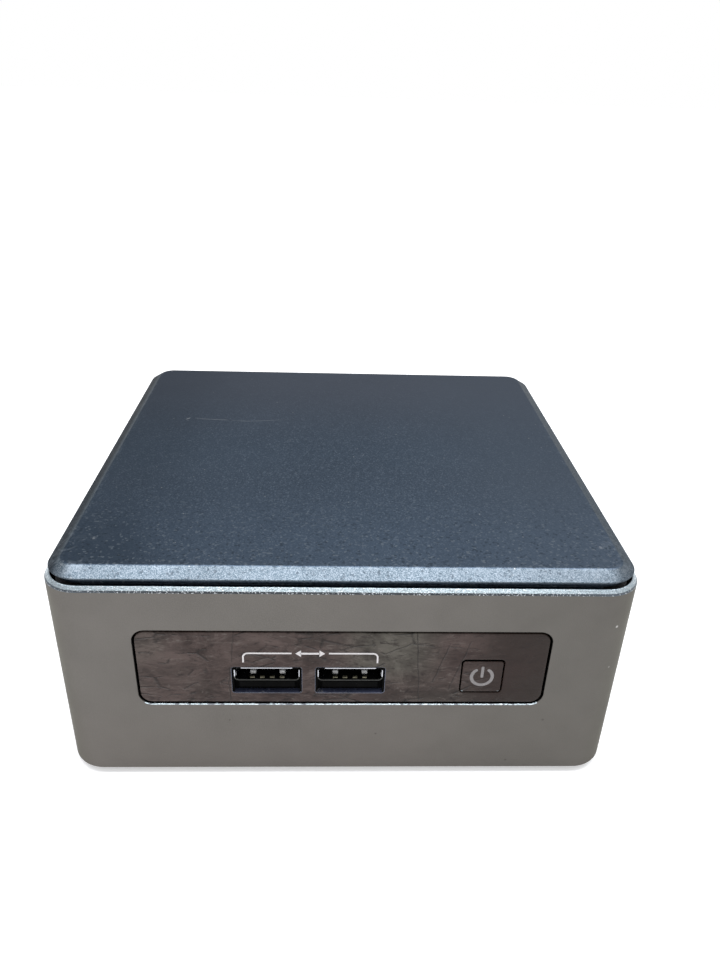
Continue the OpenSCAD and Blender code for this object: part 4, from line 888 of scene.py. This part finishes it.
def icon_outlines():
    """Standby symbol: an open ring and a bar with round ends."""
    cx, cz, r, t = BUTTON[0], BUTTON[1] - 0.1, 2.10, 0.35
    arc = [radians(127 + 286 * i / 40) for i in range(41)]
    tips = (0.6, 1.2, 1.8, 2.4)
    ring = [polar(cx, cz, r + t, a) for a in arc]
    ring += [polar(*polar(cx, cz, r, arc[-1]), t, arc[-1] + b) for b in tips]
    ring += [polar(cx, cz, r - t, a) for a in reversed(arc)]
    ring += [polar(*polar(cx, cz, r, arc[0]), -t, arc[0] + b) for b in tips]
    bar = round_rect(0.62, 2.9, 0.29, 5, cx, cz + 1.2)
    return ring, bar


bezel()
printing()
button()

# ---- ports ----

R_FACE = box_of("rear_panel")[1][1]
HDMI_X, HDMI_Z, LAN_X, LAN_Z = (21.5, 3.0), 25.1, -16.0, 14.9
STACK_X, STACK_Z, STACK_MID = -34.5, (24.4, 16.8), 20.55
DC_X, DC_Z, DC_MID = 37.05, 22.4, 22.7
USB_W, USB_H = 12.5, 5.1  # the opening of a USB-A shell


def usb_front_shell(x):
    """Metal shell of a front socket: the mouth's upper part stands forward, the lower part sits back."""
    s = Shape()
    front, z = FACE + 0.2, USB_Z
    s.extrude(round_rect(USB_W + 0.6, USB_H + 0.6, 0.6, 5, x, z), [round_rect(USB_W, USB_H, 0.35, 5, x, z)],
              front + 1.6, front + 14, "y", 0.05, 0.05)
    low, top, side, wall, bend = z + 0.18, z + 2.85, 6.5, 0.22, 0.95
    for sx in (-1, 1):
        arm = [(x + sx * side, top), (x + sx * (side - wall), top), (x + sx * (side - wall), low + bend),
               (x + sx * side, low + bend)]
        s.extrude(oriented(arm, True), [], front, front + 1.7, "y", 0.04, 0, seg=1)
    turn = lambda sx, r: [(x + sx * (side - bend + r * cos(a)), low + bend - r * sin(a))
                          for a in (pi / 12 * k for k in range(7))]
    thin = bend - wall * 0.7
    s.mark = 1  # the lower run is dark and dull, as painted shade
    s.extrude(turn(1, bend) + turn(-1, bend)[::-1] + turn(-1, thin) + turn(1, thin)[::-1], [],
              front, front + 0.3, "y", 0.03, 0, seg=1)
    s.mark = 0
    for sx in (-1, 1):
        for yy in (-49, -43):
            s.box((x + sx * 6.3 - 0.25, x + sx * 6.3 + 0.25), (yy - 0.9, yy + 0.9), (z, 28.3), 0.08)
    # Thin flared lip along the top of the cut-out, and the lower lip at the back of its floor
    lip = CUT_Z + 3.3
    s.extrude([(FACE - 0.02, lip - 0.02), (FACE - 0.02, lip - 0.2), (FACE + 0.1, lip - 0.22),
               (front + 0.9, z + 2.6), (front + 0.9, z + 2.78), (FACE + 0.16, lip - 0.04)],
              [], x - 5.05, x + 5.05, "x", 0.04, 0.04, seg=1)
    # A small bright piece in the lower right corner of the cut-out: a painted glint
    s.extrude([(x + 6.86, CUT_Z - 3.27), (x + 6.86, CUT_Z - 3.0), (x + 6.6, CUT_Z - 3.27)], [],
              FACE + 0.15, FACE + 1.3, "y")
    return s


for k, side in enumerate(("left", "right")):
    usb_front_shell(USB_X[k]).make("usb_front_" + side, "case", ["port_metal", "ring_dull"],
                                   ["usb_shell_front_" + side])


def usb_tongue(s, x, z, tip, way, reach, base):
    """Tongue with a chamfered nose and the moulded body behind it."""
    top, low, w = z - 0.11, z - 1.95, 5.55
    y = lambda d: tip + way * d
    nose = [(y(0), low + 0.25), (y(0.25), low), (y(reach), low), (y(reach), top), (y(0.3), top),
            (y(0), top - 0.22)]
    s.extrude(nose, [], x - w, x + w, "x", 0.08, 0.08)
    a, b = sorted((y(base), y(reach)))
    s.extrude(round_rect(12.4, 5.0, 0.3, 4, x, z), [], a, b, "y", 0.1, 0.1)


def front_tongues():
    s = Shape()
    for x in USB_X:
        usb_tongue(s, x, USB_Z, FACE + 0.5, 1, 13.5, 10.0)
        # Black cheeks beside the shell, a black block below its forward part and one above it: painted shade
        # in the cut-out
        for sx in (-1, 1):
            s.box(sorted((x + sx * 6.52, x + sx * 6.88)), (FACE + 0.25, FACE + 1.8),
                  (CUT_Z - 3.25, CUT_Z + 3.25), 0.05)
        s.box((x - 6.6, x + 6.6), (FACE + 1.35, FACE + 1.9), (CUT_Z - 3.28, USB_Z - 0.25), 0.05)
        s.box((x - 6.5, x + 6.5), (FACE + 0.5, FACE + 1.8), (USB_Z + 2.87, CUT_Z + 3.25), 0.05)
    s.make("usb_front_tongues", "case", "void_black", ["usb_tongues_front"])


def contact(s, x, z, tip, way, dx, wide):
    """One sprung contact: a strip with a rounded hump, and the flat pad in front of it."""
    top, y = z - 0.11, lambda d: tip + way * d
    outer = abs(dx) > 2
    s.mark = 2 if way > 0 else 1
    s.box((x + dx - 0.46, x + dx + 0.46), sorted((y(0.6), y(1.1))), (top - 0.02, top + 0.4), 0.05)
    s.mark = 0
    back = 0.6 if outer else 2.6
    hump = [(1.3, 0), (1.35, 0.25), (1.55, 0.6), (1.95, 0.85), (2.4, 0.8), (2.9, 0.45), (9, 0.16), (9, 0)]
    s.extrude([(y(a + (back if a < 8 else 0)), top + c) for a, c in hump], [],
              x + dx - wide, x + dx + wide, "x", 0.3, 0.3)


def contacts():
    s = Shape()
    for x in USB_X:
        for dx in (-2.95, -1, 1, 2.95):
            contact(s, x, USB_Z, FACE + 0.5, 1, dx, 0.66 if abs(dx) > 2 else 0.3)
    for z in STACK_Z:
        for dx in (-3.5, -1, 1, 3.5):
            contact(s, STACK_X, z, R_FACE - 0.5, -1, dx, 0.36)
    s.mark = 1
    for i in range(8):
        x = LAN_X + (i - 3.5) * 1.02
        s.extrude([(44, 17.2), (51.8, 17.2), (51.8, 17.45), (45.2, 18.75), (44, 18.8)], [],
                  x - 0.2, x + 0.2, "x", 0.05, 0.05, seg=1)
    s.make("socket_contacts", "case", ["pin_metal", "contact_gold", "pad_worn"], ["port_contacts"])


front_tongues()
contacts()

# ---- rear ----


def video_outline(x, z, grow=0.0):
    w, h = 7.5 + grow, 2.9 + grow
    return [(x - w, z - h), (x + w, z - h), (x + w, z + h - 2), (x + w - 1.7, z + h), (x - w + 1.7, z + h),
            (x - w, z + h - 2)]


def rear():
    s = Shape()
    cuts = [round_rect(2, 9.6, 0.98, 6, (i - 11) * 3.4, 36.6) for i in range(23)]
    cuts += [round_rect(10, 11.5, 0.3, 3, DC_X, DC_MID), round_rect(16.7, 13.8, 0.3, 3, LAN_X, LAN_Z + 6.65),
             round_rect(14.9, 15.8, 0.3, 3, STACK_X, STACK_MID)]
    cuts += [video_outline(x, HDMI_Z, 0.25) for x in HDMI_X]
    s.extrude(round_rect(86.1, 32.3, 1.65, 8, 0, REAR_Z), cuts, R_FACE - 1.9, R_FACE, "y", 0, 0.25, 0, 0.15)
    s.extrude(round_rect(89.8, 34.8, 2, 6, 0, 26.3), [inset(oriented(c, False), 0.05) for c in cuts],
              R_FACE - 1.9, R_FACE - 1.1, "y", 0.15, 0.15, 0, 0)
    s.make("rear_plate", "case", "rear_black", ["rear_panel"])
    # Power socket
    t = Shape()
    body, depth = round_rect(9.5, 11, 0.5, 4, DC_X, DC_MID), R_FACE - 9.5
    t.extrude(body, [circle(3.15, 40, DC_X, DC_Z)], depth, R_FACE, "y", 0, 0.2, 0, 0.35)
    t.extrude(body, [], 41.5, depth, "y", 0.2, 0)
    t.make("power_socket", "case", "socket_black", ["dc_jack"])
    u = Shape()
    pin = ((0.001, 9.5), (1.25, 9.5), (1.25, 1.3), (1.15, 1.05), (0.9, 0.85), (0.001, 0.8))
    u.lathe([(r, R_FACE - d) for r, d in pin], (DC_X, DC_Z), 32, "y")
    u.make("power_socket_pin", "case", "port_metal", ["dc_jack_pin"])
    # Video sockets
    v = Shape()
    for x in HDMI_X:
        v.extrude(video_outline(x, HDMI_Z), [video_outline(x, HDMI_Z, -0.35)], 44, R_FACE, "y", 0, 0.1)
        v.extrude(video_outline(x, HDMI_Z), [], 43.2, 44, "y", 0.1, 0)
    v.make("video_sockets", "case", "port_metal", ["hdmi_shells"])
    # Network socket
    n = Shape()
    half = [(5.9, 2.3), (5.9, 9), (3.1, 9), (3.1, 10.9), (1.7, 10.9), (1.7, 12)]
    mouth = [(LAN_X - 5.9, LAN_Z + 2.3)] + [(LAN_X + u, LAN_Z + v) for u, v in half]
    mouth += [(LAN_X - u, LAN_Z + v) for u, v in half[:0:-1]]
    body = round_rect(16.2, 13.3, 0.4, 3, LAN_X, LAN_Z + 6.65)
    n.extrude(body, [mouth], R_FACE - 13, R_FACE, "y", 0, 0.2, 0, 0.15)
    n.extrude(body, [], R_FACE - 21.2, R_FACE - 13, "y", 0.2, 0)
    n.mark = 1
    for sx in (-1, 1):  # status lamps
        n.box(sorted((LAN_X + sx * 4.0, LAN_X + sx * 6.8)), (R_FACE - 0.4, R_FACE + 0.02),
              (LAN_Z + 10.1, LAN_Z + 11.9), 0.1)
    n.mark = 2
    n.extrude(mouth, [inset(oriented(mouth, True), 0.35)], R_FACE - 12.9, R_FACE - 0.35, "y")
    n.make("network_socket", "case", ["port_metal", "header_ivory", "tongue_black"], ["ethernet_jack"])
    # Stacked USB sockets
    k = Shape()
    body = round_rect(14.4, 15.3, 0.5, 4, STACK_X, STACK_MID)
    bays = [round_rect(USB_W, USB_H, 0.35, 4, STACK_X, z) for z in STACK_Z]
    k.extrude(body, bays, 38.2, R_FACE, "y", 0, 0.15, 0, 0.12)
    k.extrude(body, [], R_FACE - 17.7, 38.2, "y", 0.15, 0)
    k.make("usb_rear_stack", "case", "port_metal", ["usb_shell_rear"])
    m = Shape()
    for z in STACK_Z:
        usb_tongue(m, STACK_X, z, R_FACE - 0.5, -1, 15.5, 12.9)
    for x in HDMI_X:
        m.box((x - 5.8, x + 5.8), (44, R_FACE - 0.8), (24.2, 25.4), 0.15)
    m.make("rear_tongues", "case", "tongue_black", ["rear_port_tongues"])


rear()

# ---- base ----

BRACKET_X, BRACKET_R = (-25, 25), 1.25
FOOT_RING = [(3.3, 0.25), (3.45, 0.08), (3.75, 0), (6.1, 0), (6.45, 0.08), (6.8, 0.3), (7, 0.6)]


def base():
    s = Shape()
    w, d, z0, t = 111.2, 107.2, 1.5, 1.2
    cuts = [circle(1.8, 24, x, y) for x, y in POSTS] + [circle(BRACKET_R, 20, x, 0) for x in BRACKET_X]
    cuts += [round_rect(2.4, 14, 1.19, 6, x, y) for x in range(-33, 34, 6) for y in (-25, 16)]
    cuts += [round_rect(2.4, 10, 1.19, 6, x, 40) for x in range(-33, 34, 6)]
    s.extrude(round_rect(w, d, 5.6, N), cuts, z0, z0 + t, b0=0.2, b1=0.15, hb0=0.15, hb1=0.1)
    for x in BRACKET_X:
        s.extrude(circle(2.8, 28, x, 0), [circle(BRACKET_R, 20, x, 0)], z0 + t - 0.1, z0 + t + 0.9, b1=0.15)
    for sy in (-1, 1):
        s.box((-40, 40), (sy * 52.5 - 0.5, sy * 52.5 + 0.5), (z0 + 0.6, z0 + 4), 0.15)
    s.make("base_plate", "base", "cover_black", ["bottom_cover"])
    f = Shape()
    for x, y in POSTS:
        f.lathe(FOOT_RING + [(7, z0), (3.3, z0)], (x, y), 48)
    f.make("foot_pads", "base", "rubber", ["rubber_feet"])
    for corner, k in (("front_left", 0), ("front_right", 2), ("rear_right", 3), ("rear_left", 1)):
        captive_screw(corner, *POSTS[k])


def cross(size, x, y):
    """Outline of a cross recess."""
    a, b = size / 2, size / 8
    return [(x + u, y + v) for u, v in ((-a, -b), (-b, -b), (-b, -a), (b, -a), (b, -b), (a, -b),
                                        (a, b), (b, b), (b, a), (-b, a), (-b, b), (-a, b))]


def captive_screw(corner, x, y, z=0.35, r=2.9, head=1.15, shank=1.45, end=11, deep=0.65, thread=0.6):
    """Pan-head screw, head down, with a cross recess, a threaded shank and a retaining ring."""
    s = Shape()
    s.extrude(circle(r, 36, x, y), [cross(r * 1.15, x, y)], z, z + deep, b0=0.22, b1=0, hb0=0.05, hb1=0)
    s.extrude(circle(r, 36, x, y), [], z + deep, z + head)
    # The thread is a stack of shallow vees
    profile, h = [(0.001, z + head * 0.9), (shank * 0.86, z + head * 0.9)], head
    while h < end - z - 0.6:
        profile += [(shank * 0.86, z + h), (shank, z + h + thread * 0.4),
                    (shank * 0.86, z + h + thread * 0.8)]
        h += thread
    profile += [(shank * 0.8, end - 0.3), (shank * 0.45, end), (0.001, end)]
    s.lathe(profile, (x, y), 20)
    s.lathe([(1.4, 2.8), (2.6, 2.8), (2.6, 3.1), (1.4, 3.1)], (x, y), 32)
    s.make("captive_" + corner, "captive_screw_" + corner, "screw_steel", ["captive_screw_" + corner])


base()

# ---- CAD nodes that stay ----

for node, obj in frame["nodes"].items():
    finish = FINISH[{"deck_screws": "screw_black"}.get(node, SLOT_OF[node])]
    obj.data.materials.clear()
    obj.data.materials.append(finish)

# ---- stage, light and camera ----


def stage():
    s = bpy.data.meshes.new("floor")
    bm = bmesh.new()
    bmesh.ops.create_grid(bm, x_segments=1, y_segments=1, size=4.0)
    bm.to_mesh(s)
    bm.free()
    g = Graph("floor")
    g.base = g.mix(g.span(g.noise(3, 2), 0.3, 0.7), (0.83, 0.83, 0.83), (0.86, 0.86, 0.86))
    g.set(Roughness=0.9, Specular_IOR_Level=0.1, Emission_Color=(1.0, 1.0, 1.0), Emission_Strength=0.4)
    s.materials.append(g.mat)
    o = placed("floor", s)


def area(name, place, target, size, power, colour=(1, 1, 1)):
    data = bpy.data.lights.new(name, "AREA")
    data.shape, data.size, data.size_y, data.energy, data.color = "RECTANGLE", size[0], size[1], power, colour
    o = placed(name, data)
    o.location = place
    o.rotation_mode = "QUATERNION"
    o.rotation_quaternion = (Vector(target) - Vector(place)).to_track_quat("-Z", "Y")


def sky():
    """Soft studio surround: white at the horizon, a little dimmer and bluer above it, dimmest to the left."""
    world = bpy.data.worlds.new("studio")
    bpy.context.scene.world = world
    world.use_nodes = True
    tree = world.node_tree
    back = tree.nodes["Background"]
    way = tree.nodes.new("ShaderNodeSeparateXYZ")
    tree.links.new(tree.nodes.new("ShaderNodeTexCoord").outputs["Generated"], way.inputs[0])

    def ramp(socket, stops):
        node = tree.nodes.new("ShaderNodeValToRGB")
        tree.links.new(socket, node.inputs[0])
        node.color_ramp.interpolation = "EASE"
        for k, (pos, c) in enumerate(stops):
            e = node.color_ramp.elements[k] if k < 2 else node.color_ramp.elements.new(pos)
            e.position, e.color = pos, (*c, 1)
        return node.outputs[0]

    shift = tree.nodes.new("ShaderNodeMapRange")
    tree.links.new(way.outputs[0], shift.inputs[0])
    shift.inputs[1].default_value = -1
    height = ramp(way.outputs[2], [(0.1, (1, 1, 1)), (0.42, (0.92, 0.93, 0.96))])
    side = ramp(shift.outputs[0], [(0.3, (0.72, 0.72, 0.72)), (0.6, (1, 1, 1))])
    above = ramp(way.outputs[2], [(0.08, (0, 0, 0)), (0.35, (1, 1, 1))])
    mix = tree.nodes.new("ShaderNodeMix")
    mix.data_type, mix.blend_type = "RGBA", "MULTIPLY"
    for k, socket in ((0, above), (6, height), (7, side)):
        tree.links.new(socket, mix.inputs[k])
    tree.links.new(mix.outputs[2], back.inputs[0])
    back.inputs[1].default_value = 1.0


stage()
sky()
area("overhead", (0.0, -0.07, 0.75), (0, -0.05, 0.03), (1.1, 0.3), 5.3, (0.96, 0.97, 1.0))

cam_data = bpy.data.cameras.new("camera")
cam = placed("camera", cam_data)
bpy.context.scene.camera = cam
cam_data.lens, cam_data.sensor_width = 29.13, 36.0
cam_data.clip_start, cam_data.clip_end = 0.01, 20
yaw, pitch, roll = (radians(a) for a in (-2.68, 27.98, -2.0))
turn = Matrix.Rotation(yaw, 3, "Z")
look = turn @ Vector((0, cos(pitch), -sin(pitch)))
up = turn @ Vector((0, sin(pitch), cos(pitch)))
right = turn @ Vector((1, 0, 0))
right, up = right * cos(roll) - up * sin(roll), right * sin(roll) + up * cos(roll)
basis = Matrix((right, up, -look)).transposed().to_4x4()
cam.matrix_world = Matrix.Translation(Vector((-3.6, -173.43, 133.94)) * MM) @ basis
bpy.context.scene.view_settings.view_transform = "Standard"
